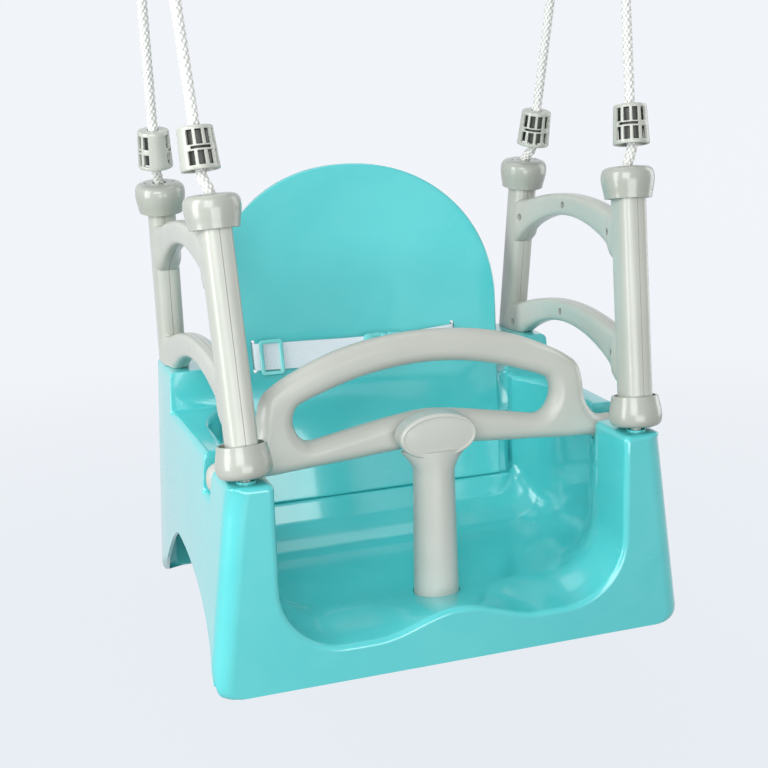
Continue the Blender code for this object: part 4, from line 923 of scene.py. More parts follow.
    def sections(self, lines: Array, inset: float) -> tuple[Array, Array]:
        """Right halves of cross-sections: up the outside, a quarter circle over the rim, down the inside, a
        quarter circle into the floor, and across the floor to the middle.

        Args:
            lines: The lines that they stand on.
            inset: How far the surface lies inside the wall.

        Returns:
            The points, and for each point across how far it sinks in x and z at a rounded face and over what
                depth.
        """
        side_y, floor_y, floor_z, rim_z, fillet = (v[:, None] for v in lines.T)
        rim_z, fillet = rim_z - inset, fillet + inset
        rim, corner = self.rim_round - inset, self.corner_round - inset
        inner = self.well_half(side_y) + inset
        low = self.arch(side_y)
        foot = np.where(side_y < self.block_front_y, 0.0, self.rear_foot_z)
        top = rim_z - rim
        rise = np.array([[0.0, 0.06, 0.16, 0.34, 0.6, 1.0]])
        share = np.linspace(0.0, 1.0, 9)[None, 1:]
        z = np.hstack([low + self.foot_corner * rise,
                       low + self.foot_corner + (top - low - self.foot_corner) * share])
        under = np.clip(1 - (z - foot) / self.foot_corner, 0.0, 1.0)
        cut = self.foot_corner * (1 - np.sqrt(1 - under**2))
        wall = np.stack([self.outer_half(side_y, z) - inset - cut, side_y + 0 * z, z], 2)
        turn = np.radians(np.linspace(0, 90, 6))[None, :]
        c, s = np.cos(turn), np.sin(turn)
        out = self.outer_half(side_y, top + rim * s) - inset
        over = np.stack([out - rim * (1 - c), side_y + 0 * s, top + rim * s], 2)[:, 1:]
        back = np.stack([inner + rim * (1 - c), side_y + 0 * s, top + rim * s], 2)[:, ::-1]
        edge = inner - fillet
        base = self.floor(edge, floor_y, floor_z) - inset
        drop = np.linspace(0.0, 1.0, 6)[None, 1:-1]
        face_z = top + (base + fillet - top) * drop
        face = np.stack([inner + 0 * face_z, side_y + 0 * face_z, face_z], 2)
        turn = np.radians(np.linspace(0, 90, 15))[None, :-1]
        c2, s2 = np.cos(turn), np.sin(turn)
        along = side_y + (floor_y - side_y) * (1 - c2) ** 0.7
        bowl = np.stack([inner - fillet * (1 - c2), along, base + fillet * (1 - s2)], 2)
        x = edge * np.linspace(1.0, 0.0, 22)[None, :]
        flat = np.stack([x, floor_y + 0 * x, self.floor(x, floor_y, floor_z) - inset], 2)
        one = np.ones
        sinks = np.vstack([
            np.stack([corner * one(wall.shape[1]), 0 * one(wall.shape[1]), corner * one(wall.shape[1])], 1),
            np.stack([corner + 0 * s[0, 1:], rim * s[0, 1:], corner + (rim - corner) * s[0, 1:]], 1),
            np.stack([-rim + 0 * s[0], rim * s[0], rim + 0 * s[0]], 1)[::-1],
            np.stack([-rim * one(4), 0 * one(4), rim * one(4)], 1),
            np.stack([-rim * c2[0], rim * s2[0], rim + 0 * c2[0]], 1),
            np.stack([0 * x[0], rim + 0 * x[0], rim + 0 * x[0]], 1),
        ])
        return np.concatenate([wall, over, back, face, bowl, flat], 1), sinks

    def end(self, line: tuple[float, ...], face_y: float, sign: float, turns: Array, inset: float) -> Array:
        """Cross-sections rounded over to the front (sign -1) or rear (+1) face: each point turns through a
        quarter circle of its own radius into that face, and a narrow rim lies flat in it.

        Args:
            line: The line at the face.
            face_y: Depth of the face.
            sign: Which way the face looks.
            turns: Angles from the side (0) to the face (90), in degrees.
            inset: How far the surface lies inside the wall.

        Returns:
            The points, one section for each turn.
        """
        turn = np.radians(turns)
        lines = np.tile(line, (len(turn), 1))
        lines[:, 0] = face_y - sign * (self.corner_round - inset) * (1 - np.sin(turn))
        points, sinks = self.sections(lines, inset)
        level = (1 - np.cos(turn))[:, None]
        points[:, :, 0] -= sinks[None, :, 0] * level
        points[:, :, 2] -= sinks[None, :, 1] * level
        points[:, :, 1] = face_y - sign * sinks[None, :, 2] * (1 - np.sin(turn))[:, None]
        edge = int(np.argmax(turns))
        inward = sinks[:, :2] / np.maximum(np.linalg.norm(sinks[:, :2], axis=1), 1e-6)[:, None]
        rim = points[edge].copy()
        rim[:, [0, 2]] -= self.face_rim * inward
        return np.insert(points, 0 if edge == 0 else len(points), rim, axis=0)

    def surface(self, inset: float) -> Array:
        """The tub's outer surface, or with an inset its inner one, front to rear and right to left."""
        front_y, rear_y = self.front_y + inset, self.front_y + self.depth - inset
        front = (front_y, front_y, self.floor_z, self.post_z, self.opening_corner)
        rear = (rear_y, rear_y, self.shelf_z, self.block_z, self.ledge_fillet)
        turns = np.linspace(90, 0, 8)
        middle, _ = self.sections(self.lines(inset), inset)
        half = np.vstack([self.end(front, front_y, -1, turns, inset), middle,
                          self.end(rear, rear_y, 1, turns[::-1], inset)])
        mirrored = half[:, -2::-1] * np.array([-1.0, 1.0, 1.0])
        return np.concatenate([half, mirrored], 1)

    def build(self) -> Piece:
        """Builds the moulding: outer and inner surface, their front and rear faces, and the strips under its
        edges.

        Returns:
            The tub.
        """
        outer, inner = self.surface(0.0), self.surface(self.wall)
        rows, columns = outer.shape[:2]
        size = rows * columns
        faces = grid_faces(rows, columns)
        inside = faces[:, ::-1] + size
        r = np.arange(rows - 1)
        strips = []
        for column in (0, columns - 1):
            a, b = r * columns + column, (r + 1) * columns + column
            strips.append(np.stack([a, b, b + size, a + size], 1))
        quads = np.vstack([faces, inside, *strips]).tolist()
        for row in (0, rows - 1):
            loop = list(range(row * columns, (row + 1) * columns))
            quads += [loop, [i + size for i in loop[::-1]]]
            quads.append([loop[0], loop[-1], loop[-1] + size, loop[0] + size])
        tub = new_mesh("seat_tub_moulding", np.vstack([outer.reshape(-1, 3), inner.reshape(-1, 3)]), quads)
        y, bore, _ = self.socket
        combine(tub, [rod((0.0, y, 0.02), UP, bore, 0.0225, 0.0004)], Join.CUT)
        face_outwards(tub)
        return tub

    def build_socket(self) -> Piece:
        """Builds the cup under the floor that the column stands in."""
        y, bore, floor_z = self.socket
        rim, low, out = self.floor_z - self.wall, floor_z - self.wall, bore + self.wall
        profile = [(0.0, low), (out - 0.001, low), (out, low + 0.001), (out, rim), (bore, rim),
                   (bore, floor_z), (0.0, floor_z)]
        return new_mesh("column_socket", *turned(profile, UP, (0.0, y, 0.0), MANY))

    def dress(self) -> None:
        """Builds and places the tub and its socket."""
        fit(self.build(), "seat", Finish.TURQUOISE, "seat_tub")
        fit(self.build_socket(), "seat", Finish.TURQUOISE)


# Backrest and belt


@dataclass
class Backrest:
    """The dished panel with an arched top and a flange turned back round its edge, open behind."""

    panel: float = 0.003
    half: float = 0.142
    foot_half: float = 0.131
    foot_z: float = 0.085
    shoulder_z: float = 0.262
    top_z: float = 0.3935
    dish: float = 0.008
    dish_from: float = 0.182
    dish_fade: float = 0.050
    arch_power: float = 2.13
    edge_round: float = 0.0026
    across: int = 81
    up: int = 61
    slots: Pair = (-0.1075, 0.0945)
    slot_size: Pair = (0.0040, 0.030)
    slot_z: float = 0.2225
    slot_x: float = 0.104  # about how far the slots lie from the middle

    def depth_at(self, x: Array, z: Array) -> Array:
        """Depth of the front face: a leaning plane, with a parabolic dish that fades in at the shelf."""
        fade = smoothstep((z - self.dish_from) / self.dish_fade)
        bowl = self.dish * (1 - np.minimum(np.abs(x) / self.half, 1.0) ** 2) * fade
        return BACKREST_LINE[0] + BACKREST_LINE[1] * (z - BACKREST_LINE[2]) + bowl

    def slot_y(self) -> float:
        """Depth of the front face at the slots."""
        return float(self.depth_at(np.array(self.slot_x), np.array(self.slot_z)))

    def sheet(self, inset: float, behind: float) -> Array:
        """The panel's outline filled by upright lines: across it by the cosine of a turn raised to the arch's
        power, and up each line from the foot to the arch.

        Args:
            inset: How far it is drawn in from the outline.
            behind: How far it lies behind the front face.

        Returns:
            A grid of points, line by line from left to right.
        """
        turn = np.linspace(0.0, math.pi, self.across)[:, None]
        rise = np.abs(np.sin(turn)) ** (2 / self.arch_power)
        wide = -np.sign(np.cos(turn)) * np.abs(np.cos(turn)) ** (2 / self.arch_power)
        foot = self.foot_z + inset
        top = self.shoulder_z + (self.top_z - inset - self.shoulder_z) * rise
        z = foot + (top - foot) * np.linspace(0.0, 1.0, self.up)[None, :]
        share = np.clip((z - foot) / (self.shoulder_z - foot), 0.0, 1.0)
        x = (self.foot_half + (self.half - self.foot_half) * share - inset) * wide
        return np.stack([x, self.depth_at(x, z) + behind, z], 2)

    def build(self) -> Piece:
        """Builds the panel: a front sheet, rings that turn over the flange, and a back sheet.

        Returns:
            The panel.
        """
        r = self.edge_round
        turns = np.radians(np.linspace(0, 90, 6))
        rings = [(r * (1 - math.sin(a)), r * (1 - math.cos(a))) for a in turns]
        back = BACKREST_FLANGE
        rings += [(0.0, back - 0.0010), (0.0003, back - 0.0003), (0.0010, back), (self.panel - 0.0008, back)]
        rings += [(self.panel, back - 0.0008), (self.panel, self.panel + 0.002),
                  (self.panel + 0.0006, self.panel)]
        layers = [self.sheet(inset, behind) for inset, behind in rings]
        size = self.across * self.up
        index = np.arange(size).reshape(self.across, self.up)
        rim = np.concatenate([index[:-1, 0], index[-1, :-1], index[:0:-1, -1], index[0, :0:-1]])
        sheet = grid_faces(self.across, self.up)
        faces = [sheet, sheet[:, ::-1] + (len(layers) - 1) * size]
        for layer in range(len(layers) - 1):
            a, b = rim + layer * size, np.roll(rim, -1) + layer * size
            faces.append(np.stack([b, a, a + size, b + size], 1))
        panel = new_mesh("backrest_panel", np.concatenate(layers).reshape(-1, 3), np.vstack(faces))
        self.drop_loose(panel)
        cutters = []
        for x in self.slots:
            y, (w, h) = self.slot_y(), self.slot_size
            cutters.append(block((x - w / 2, y - 0.03, self.slot_z - h / 2),
                                 (x + w / 2, y + 0.03, self.slot_z + h / 2), 0.0018))
        combine(panel, cutters, Join.CUT)
        face_outwards(panel)
        return panel

    @staticmethod
    def drop_loose(panel: Piece) -> None:
        """Deletes points that no face uses."""
        work = bmesh.new()
        work.from_mesh(panel.data)
        bmesh.ops.delete(work, geom=[v for v in work.verts if not v.link_faces], context="VERTS")
        work.to_mesh(panel.data)
        work.free()

    def dress(self) -> None:
        """Builds and places the panel."""
        fit(self.build(), "seat", Finish.TURQUOISE, "backrest")


def lay_uv(made: Piece, u: Array, v: Array, turn: float = 0.0) -> None:
    """Gives a piece a UV map in millimetres from values at its points.

    Args:
        made: The piece.
        u: First coordinate of each point, along the piece.
        v: Second coordinate of each point, across or round it.
        turn: The full length of v round a closed piece; a face that spans its seam goes on past it.
    """
    mesh = made.data
    corner = np.empty(len(mesh.loops), np.int32)
    mesh.loops.foreach_get("vertex_index", corner)
    start, total = np.empty(len(mesh.polygons), np.int32), np.empty(len(mesh.polygons), np.int32)
    mesh.polygons.foreach_get("loop_start", start)
    mesh.polygons.foreach_get("loop_total", total)
    face = np.repeat(np.arange(len(start)), total)
    along, around = u[corner].copy(), v[corner].copy()
    if turn:
        high = np.full(len(start), -np.inf)
        np.maximum.at(high, face, around)
        around[(high[face] - around) > 0.5 * turn] += turn
    layer = mesh.uv_layers.new(name="UVMap")
    layer.data.foreach_set("uv", np.stack([along, around], 1).ravel().astype(np.float32))


def superellipse(half: Pair, power: float, steps: int) -> Array:
    """A circle squared off by a power and stretched to two half-widths.

    Args:
        half: Half-widths.
        power: 2 for an ellipse, more for a squarer one.
        steps: How many points go round.

    Returns:
        The outline's points.
    """
    turn = 2 * math.pi * (np.arange(steps) + 0.5) / steps
    c, s = np.cos(turn), np.sin(turn)
    return np.stack([half[0] * np.sign(c) * np.abs(c) ** (2 / power),
                     half[1] * np.sign(s) * np.abs(s) ** (2 / power)], 1)


@dataclass
class LapBelt:
    """The lap belt: two lengths of webbing from the slots, a slider and a side-release buckle."""

    back: Backrest
    width: float = 0.025
    thickness: float = 0.0013
    stand: float = 0.0030
    sag: float = 0.003
    buckle: tuple[float, float, float] = (0.0, 0.0235, 0.0400)  # socket's end, parting, plug's end
    buckle_half: Pair = (0.00425, 0.0150)
    buckle_stand: float = 0.0030
    slider_x: float = -0.0915
    slider_half: Pair = (0.01125, 0.01625)
    slider_hole: Pair = (0.0078, 0.0129)

    def face(self) -> float:
        """Depth of the webbing's middle, clear of the panel."""
        return self.back.slot_y() - self.stand - 0.5 * self.thickness

    def ribbon(self, name: str, route: Sequence[Vec]) -> Piece:
        """Webbing along a route, standing on edge: the route's curve widened along the backrest's lean, with
        a tighter edge on both sides and a slight ripple.

        Args:
            name: The piece's name.
            route: Points that its middle runs through.

        Returns:
            The webbing.
        """
        path = resampled(smooth_curve(route, 16), 110)
        along = np.gradient(path, axis=0)
        along[:, 2] = 0.0
        along /= np.linalg.norm(along, axis=1)[:, None]
        out = np.stack([along[:, 1], -along[:, 0], 0 * along[:, 0]], 1)
        up = unit((0.0, BACKREST_LINE[1], 1.0))
        half, thin = 0.5 * self.width, 0.5 * self.thickness
        share = np.linspace(-1.0, 1.0, 15)
        bulge = thin * np.clip(1.15 - 0.35 * np.abs(share) ** 8, 0.6, 1.0)
        section = np.vstack([np.stack([bulge, half * share], 1), np.stack([-bulge, half * share], 1)[::-1]])
        made = new_mesh(name, *swept(section, path, out, up))
        local = points_of(made)
        run = (local[:, 0] - path[:, 0].min()) * 1000
        lay_uv(made, run, (local[:, 2] - self.back.slot_z) * 1000 + 40.0)
        return made

    def lean(self, points: Array, middle: float) -> Array:
        """Points moved back with the backrest's lean about a height."""
        points = points.copy()
        points[..., 1] += BACKREST_LINE[1] * (points[..., 2] - middle)
        return points

    def shell(self, name: str, stations: Sequence[Pair], middle: float) -> Piece:
        """A buckle half: a squared-off section carried along the belt at a share of its full size.

        Args:
            name: The piece's name.
            stations: Place along the belt and share of the full size.
            middle: Height of its middle.

        Returns:
            The buckle half.
        """
        section = superellipse(self.buckle_half, 3.4, 56)
        xs, sizes = np.array(stations).T
        y = self.face() - self.buckle_stand
        rings = np.stack([
            xs[:, None] + 0 * section[None, :, 0],
            y + sizes[:, None] ** 0.6 * section[None, :, 0],
            middle + sizes[:, None] * section[None, :, 1],
        ], 2)
        return new_mesh(name, *lofted(self.lean(rings, middle)))

    def build_buckle(self) -> tuple[Piece, Piece]:
        """Builds the socket, open at both edges for the plug's prongs, and the plug with its web bar.

        Returns:
            The socket and the plug.
        """
        start, parting, end = self.buckle
        middle = self.back.slot_z - self.sag
        half = self.buckle_half[1]
        y = self.face() - self.buckle_stand
        stations = [(start + FIT, 0.80), (start + 0.0006, 0.88), (start + 0.0018, 0.95),
                    (start + 0.004, 0.99), (0.011, 1.0), (parting - 0.003, 0.97), (parting - 0.0008, 0.93),
                    (parting - FIT, 0.90)]
        socket = self.shell("buckle_socket_body", stations, middle)
        windows = [block((0.0075, y - 0.0018, z - 0.0036), (0.0185, y + 0.0018, z + 0.0036), 0.0016)
                   for z in (middle - half, middle + half)]
        release = block((0.0035, y - 0.01, middle - 0.0085), (0.0058, y - 0.0035, middle + 0.0085), 0.001)
        windows.append(release)
        combine(socket, windows, Join.CUT)
        stations = [(parting + FIT, 0.90), (parting + 0.0008, 0.94), (parting + 0.003, 0.97), (0.031, 0.94),
                    (end - 0.003, 0.9), (end - 0.0008, 0.86), (end - FIT, 0.80)]
        plug = self.shell("buckle_plug_body", stations, middle)
        bar = block((0.0315, y - 0.01, middle - 0.0095), (0.0352, y - 0.0015, middle + 0.0095), 0.0015)
        combine(plug, [bar], Join.CUT)
        for made in (socket, plug):
            soften_edges(made, 0.0003, 2, 35)
        return socket, plug

    def build_prongs(self) -> Piece:
        """Builds the plug's two sprung prongs, seen in the socket's windows."""
        middle = self.back.slot_z - self.sag
        half = self.buckle_half[1]
        y = self.face() - self.buckle_stand
        section = superellipse((0.0014, 0.0016), 3.0, 16)
        parts, faces, count = [], [], 0
        for side in (-1.0, 1.0):
            path = smooth_curve([(0.0225, y, middle + side * (half - 0.0045)),
                                 (0.0180, y, middle + side * (half - 0.0020)),
                                 (0.0135, y, middle + side * (half - 0.0013)),
                                 (0.0085, y, middle + side * (half - 0.0038))], 8)
            points, quads = swept(section, self.lean(path, middle), BACK, UP)
            parts.append(points)
            faces += [[i + count for i in f] for f in quads]
            count += len(points)
        return new_mesh("buckle_prongs", np.vstack(parts), faces)

    def build_slider(self) -> Piece:
        """Builds the slider: a rounded frame in front of the webbing, highest in the middle of its band."""
        y = self.face() - 0.5 * self.thickness - 0.0006
        middle = self.back.slot_z - 0.0008
        (hx, hz), (ix, iz) = self.slider_half, self.slider_hole
        outer, inner = (rounded_loop([(-x, -z, r), (x, -z, r), (x, z, r), (-x, z, r)], 8)
                        for x, z, r in ((hx, hz, 0.003), (ix, iz, 0.0015)))
        rings = [(0.0, 0.0), (0.0, -0.0015), (0.18, -0.0022), (0.82, -0.0022), (1.0, -0.0015), (1.0, 0.0)]
        share, high = (v[:, None] for v in np.array(rings).T)
        x, z = (outer[:, i] + (inner - outer)[:, i] * share for i in (0, 1))
        points = self.lean(np.stack([self.slider_x + x, y + high + 0 * x, middle + z], 2), middle)
        return new_mesh("slider_frame", points.reshape(-1, 3), grid_faces(len(rings), len(outer), True, True))

    def dress(self) -> None:
        """Builds and places the belt."""
        y = self.face()
        behind = y + self.stand + BACKREST_FLANGE + 0.004
        z = self.back.slot_z
        loop, free = self.back.slots
        left = [(loop, behind, z), (loop, y + 0.004, z), (loop + 0.0022, y + 0.0010, z), (loop + 0.006, y, z),
                (-0.075, y - 0.0003, z - 0.001), (-0.045, y, z - 0.002), (-0.020, y - 0.0004, z - 0.0028),
                (self.buckle[0] + 0.001, y - 0.0008, z - self.sag)]
        right = [(free, behind, z), (free, y + 0.004, z), (free - 0.0022, y + 0.0010, z),
                 (free - 0.006, y, z), (0.074, y - 0.0002, z - 0.001), (0.060, y, z - 0.002),
                 (self.buckle[2] - 0.001, y - 0.0008, z - self.sag)]
        for node, route in (("webbing_left", left), ("webbing_right", right)):
            fit(self.ribbon(f"{node}_length", route), "seat", Finish.WEBBING, node)
        socket, plug = self.build_buckle()
        fit(socket, "seat", Finish.BUCKLE, "buckle_socket")
        fit(plug, "seat", Finish.BUCKLE, "buckle_plug")
        fit(self.build_prongs(), "seat", Finish.BUCKLE)
        fit(self.build_slider(), "slider", Finish.BUCKLE, "belt_slider")


# Guard and column


@dataclass
class Guard:
    """The guard: a curved bar with a window, in two shells, with lugs in the tub's notches."""

    depth: Pair = (0.058, 0.082)
    shoulder: float = 0.0105
    rings: int = 13
    edge_steps: tuple[int, int] = (1000, 600)
    cull: float = 0.97  # a ring's point nearer to an edge than this share of its distance is left out
    cell: float = 0.0006  # side of the squares in each of which a ring keeps one point
    tip_x: float = 0.1925
    screws: tuple[Pair, ...] = ((-0.132, 0.205), (0.132, 0.205), (-0.055, 0.2510), (0.055, 0.2510))

    def outlines(self) -> tuple[Array, Array]:
        """The outer edge and the window's edge as seen from the front.

        Returns:
            Both closed outlines, as smooth curves through their listed points.
        """
        tip, low = self.tip_x, NOTCH_Z + FIT
        outer = [(0.0, 0.2702), (0.030, 0.2688), (0.060, 0.2643), (0.088, 0.2566), (0.112, 0.2465),
                 (0.131, 0.2365), (0.1425, 0.2270), (0.1475, 0.2120), (0.1490, 0.1985), (0.1538, 0.1868),
                 (0.1625, 0.1780), (tip - 0.008, 0.1758), (tip - 0.0015, 0.1700),
                 (tip - 0.0010, low + 0.0060), (tip - 0.007, low + 0.0004), (0.170, low + 0.0002),
                 (0.157, 0.1585), (0.133, 0.1603), (0.105, 0.1625), (0.071, 0.1648), (0.035, 0.1676),
                 (0.0, GUARD_FOOT_Z)]
        inner = [(0.0, 0.2425), (0.026, 0.2412), (0.051, 0.2373), (0.074, 0.2315), (0.093, 0.2252),
                 (0.106, 0.2205), (0.1135, 0.2165), (0.1165, 0.2110), (0.1175, 0.2050), (0.1172, 0.2010),
                 (0.1162, 0.1975), (0.1150, 0.1945), (0.1135, 0.1918), (0.1115, 0.1893), (0.1092, 0.1873),
                 (0.1062, 0.1859), (0.1025, 0.1854), (0.094, 0.1865), (0.080, 0.1892), (0.058, 0.1932),
                 (0.030, 0.1980), (0.0, 0.2010)]
        return self.closed(outer), self.closed(inner)

    @staticmethod
    def closed(half: Sequence[Pair]) -> Array:
        """A right half with its mirror image, as one smooth closed curve."""
        return smooth_curve(np.array(half + [(-x, z) for x, z in half[-2:0:-1]]), 9, True)

    def shell(self, name: str, side: float) -> Piece:
        """One shell: rings follow both edges inwards, each standing higher off the parting plane by a quarter
        ellipse of its distance from the edge, and triangles fill what lies between them.

        Args:
            name: The piece's name.
            side: -1 for the front shell, 1 for the rear one.

        Returns:
            The shell.
        """
        edges = [resampled(edge, count, True) for edge, count in zip(self.outlines(), self.edge_steps)]
        border = np.vstack(edges)
        places, level = list(edges), [np.zeros(len(border))]
        for turn in np.linspace(0.0, 0.5 * math.pi, self.rings)[1:]:
            near = self.shoulder * (1 - math.cos(turn))
            for edge, inwards in zip(edges, (1.0, -1.0)):
                along = np.roll(edge, -1, 0) - np.roll(edge, 1, 0)
                along /= np.linalg.norm(along, axis=1)[:, None]
                x, z = edge.T
                inwards *= np.sign(np.sum(x * np.roll(z, -1) - np.roll(x, -1) * z))
                ring = edge + near * inwards * along[:, ::-1] * (-1.0, 1.0)
                clear = np.linalg.norm(ring[:, None] - border[None], axis=2).min(1) > self.cull * near
                ring = ring[clear]
                cells = np.unique(np.round(ring / self.cell).astype(int), axis=0, return_index=True)[1]
                places.append(ring[np.sort(cells)])
                level.append(np.full(len(cells), math.sin(turn)))
        loops = [list(part[::-1]) for part in np.split(np.arange(len(border)), self.edge_steps[:1])]
        places, level = np.vstack(places), np.concatenate(level)
        faces = []
        for used in (len(places), len(border)):
            points = [Vector(p) for p in places[:used]]
            _, _, corners, origin, _, parts = delaunay_2d_cdt(points, [], loops, 1, 1e-7)
            faces += [[origin[c][0] for c in face] for face, inside in zip(corners, parts) if 1 not in inside]
        middle = 0.5 * (self.depth[0] + self.depth[1])
        half = 0.5 * (self.depth[1] - self.depth[0]) - 0.5 * PARTING
        y = middle + side * (0.5 * PARTING + half * level)
        return new_mesh(name, np.stack([places[:, 0], y, places[:, 1]], 1), faces)

    def dress(self) -> None:
        """Builds and places both shells and the screws in the rear one."""
        front = self.shell("guard_front_shell", -1.0)
        rear = self.shell("guard_rear_shell", 1.0)
        back = self.depth[1]
        combine(rear, [rod((x, back - 0.0035, z), BACK, PAN_HOLE_R, 0.02) for x, z in self.screws], Join.CUT)
        face_outwards(rear)
        fit(front, "guard", Finish.GUARD, "guard_front")
        fit(rear, "guard", Finish.GUARD, "guard_rear")
        for index, (x, z) in enumerate(self.screws):
            name = f"guard_screw_{index + 1}"
            head = Screw(0.0).build(f"{name}_head", (x, back - 0.0032, z), BACK)
            fit(head, "guard", Finish.STEEL, name)


@dataclass(frozen=True)
class Screw:
    """A pan-head screw with a cross recess."""

    grip: float  # length of the shank
    shank: float = 0.0015  # radius
    head: float = 0.0018  # height
    radius: float = 0.0030

    def build(self, name: str, base: Vec, axis: Vec) -> Piece:
        """Builds the screw: a turned section whose domed head has a cross cut into it.

        Args:
            name: The piece's name.
            base: The end of its shank.
            axis: The way its head looks.

        Returns:
            The screw.
        """
        start, top = self.grip, self.grip + self.head
        profile = [(0.0, 0.0), (self.shank, 0.0), (self.shank, start), (self.radius, start)]
        profile += [(self.radius, start + 0.35 * self.head), (0.9 * self.radius, start + 0.7 * self.head),
                    (0.6 * self.radius, start + 0.95 * self.head), (0.3 * self.radius, top), (0.0, top)]
        if start == 0.0:
            profile = [profile[0], *profile[3:]]
        made = new_mesh(name, *turned(profile, axis, base, FEW))
        axis = unit(axis)
        side = unit(np.cross(BACK if abs(axis[1]) < 0.9 else UP, axis))
        centre = np.asarray(base, float) + axis * (top - 0.0009)
        section = superellipse((0.0004, 0.0015), 6.0, 8)
        cuts = []
        for along in (side, np.cross(axis, side)):
            path = np.array([centre, centre + 0.002 * axis])
            cuts.append(new_mesh("cutter", *swept(section, path, np.cross(axis, along), along)))
        combine(made, cuts, Join.CUT)
        face_outwards(made)
        return made


@dataclass
class Column:
    """The column under the guard: two half rounds that taper upwards, the front one with a flare and a bare
    oval head whose rim stands proud of its field."""

    y: float = 0.052
    foot_r: float = 0.0197
    neck_r: float = 0.0178
    foot_z: float = 0.0185
    taper_z: Pair = (0.042, 0.150)
    badge_half: Pair = (0.0345, 0.0198)
    badge_z: float = 0.1850
    badge_face_y: float = 0.0362
    badge_rim: float = 0.0028
    badge_sink: float = 0.0009
    badge_shoulder: Pair = (0.0022, 0.0032)  # how far its rounded edge runs inwards and back
    badge_steps: int = 96
    half_steps: int = 41

    def radius(self, z: Array) -> Array:
        """Radius at a height: straight taper from foot to neck."""
        share = np.clip((z - self.taper_z[0]) / (self.taper_z[1] - self.taper_z[0]), 0.0, 1.0)
        return self.foot_r + (self.neck_r - self.foot_r) * share

    def half_round(self, name: str, side: float, stations: Sequence[Pair]) -> Piece:
        """Half of the column: at each station half an ellipse with the column's depth and its own half-width.

        Args:
            name: The piece's name.
            side: -1 for the front half, 1 for the rear one.
            stations: Height and half-width.

        Returns:
            The half column.
        """
        z, wide = np.array(stations).T
        turn = np.linspace(0.0, math.pi, self.half_steps)[None, :]
        points = np.stack([
            wide[:, None] * np.cos(turn),
            self.y + side * (0.5 * PARTING + self.radius(z)[:, None] * np.sin(turn)),
            z[:, None] + 0 * turn,
        ], 2)
        return new_mesh(name, *lofted(points))

    def badge(self) -> Piece:
        """The oval head: ellipses that step over a rounded rim and down to the bare field.

        Returns:
            The head as a solid.
        """
        wide, high = self.badge_half
        face, rim, sink = self.badge_face_y, self.badge_rim, self.badge_sink
        inwards, deep = self.badge_shoulder
        rings = [(0.0, self.y - PARTING), (0.0, face + deep)]
        rings += [(inwards * (1 - math.cos(a)), face + deep - deep * math.sin(a))
                  for a in np.radians(np.linspace(15, 90, 6))]
        rings += [(rim + 0.0006 * math.sin(a), face + sink * (1 - math.cos(a)))
                  for a in np.radians(np.linspace(0, 90, 5))]
        rings += [(rim + 0.0030, face + sink - 0.0001), (0.5 * high, face + sink - 0.0004),
                  (0.93 * high, face + sink - 0.0005)]
        turn = np.linspace(0.0, math.tau, self.badge_steps, endpoint=False)
        inset, y = (v[:, None] for v in np.array(rings).T)
        points = np.stack([(wide - inset) * np.cos(turn), y + 0 * turn,
                           self.badge_z + (high - inset) * np.sin(turn)], 2)
        return new_mesh("badge", *lofted(points))

    def dress(self) -> None:
        """Builds and places both halves."""
        z = np.concatenate([[self.foot_z, self.foot_z + 0.001], np.linspace(*self.taper_z, 12)])
        low = list(zip(z, self.radius(z) - np.where(z < self.foot_z + 0.0005, 0.0008, 0.0)))
        flare = [(0.154, 0.0183), (0.158, 0.0200), (0.162, 0.0227), (0.166, 0.0258), (0.169, 0.0282),
                 (0.172, 0.0300)]
        front = self.half_round("column_front_half", -1.0, low + flare)
        combine(front, [self.badge()], Join.ADD)
        combine(front, [block((-0.05, self.y - 0.5 * PARTING, GUARD_FOOT_Z - 0.0009), (0.05, 0.2, 0.25))],
                Join.CUT)
        face_outwards(front)
        top = GUARD_FOOT_Z - 3 * FIT
        rear = self.half_round("column_rear_half", 1.0, low + [(0.160, self.neck_r), (top, self.neck_r)])
        soften_edges(rear, 0.0004, 2, 60)
        fit(front, "guard", Finish.COLUMN, "column_front")
        fit(rear, "guard", Finish.COLUMN, "column_rear")


# Side frames


@dataclass(frozen=True)
class Tube:
    """An upright tube of a side frame, in the frame's own plane."""

    at: float  # depth of its axis at TUBE_AT_Z
    travel: float  # depth gained per metre of height
    half: Pair

    def y(self, z: float) -> float:
        """Depth of its axis at a height."""
        return self.at + self.travel * (z - TUBE_AT_Z)


TUBE_AT_Z = 0.4
TUBE_TOP_Z = 0.3960
FRONT_TUBE = Tube(0.0297, 0.110, (0.0125, 0.0160))
REAR_TUBE = Tube(0.2432, -0.170, (0.0120, 0.0143))
CAP_HEIGHT, CAP_TOP, CAP_BORE_R = 0.0270, 0.0032, 0.0178
ROPE_R, ROPE_HOLE_R = 0.0047, 0.0061
COLLAR_R, BOSS_H = ROPE_HOLE_R + 0.0020, 0.0016


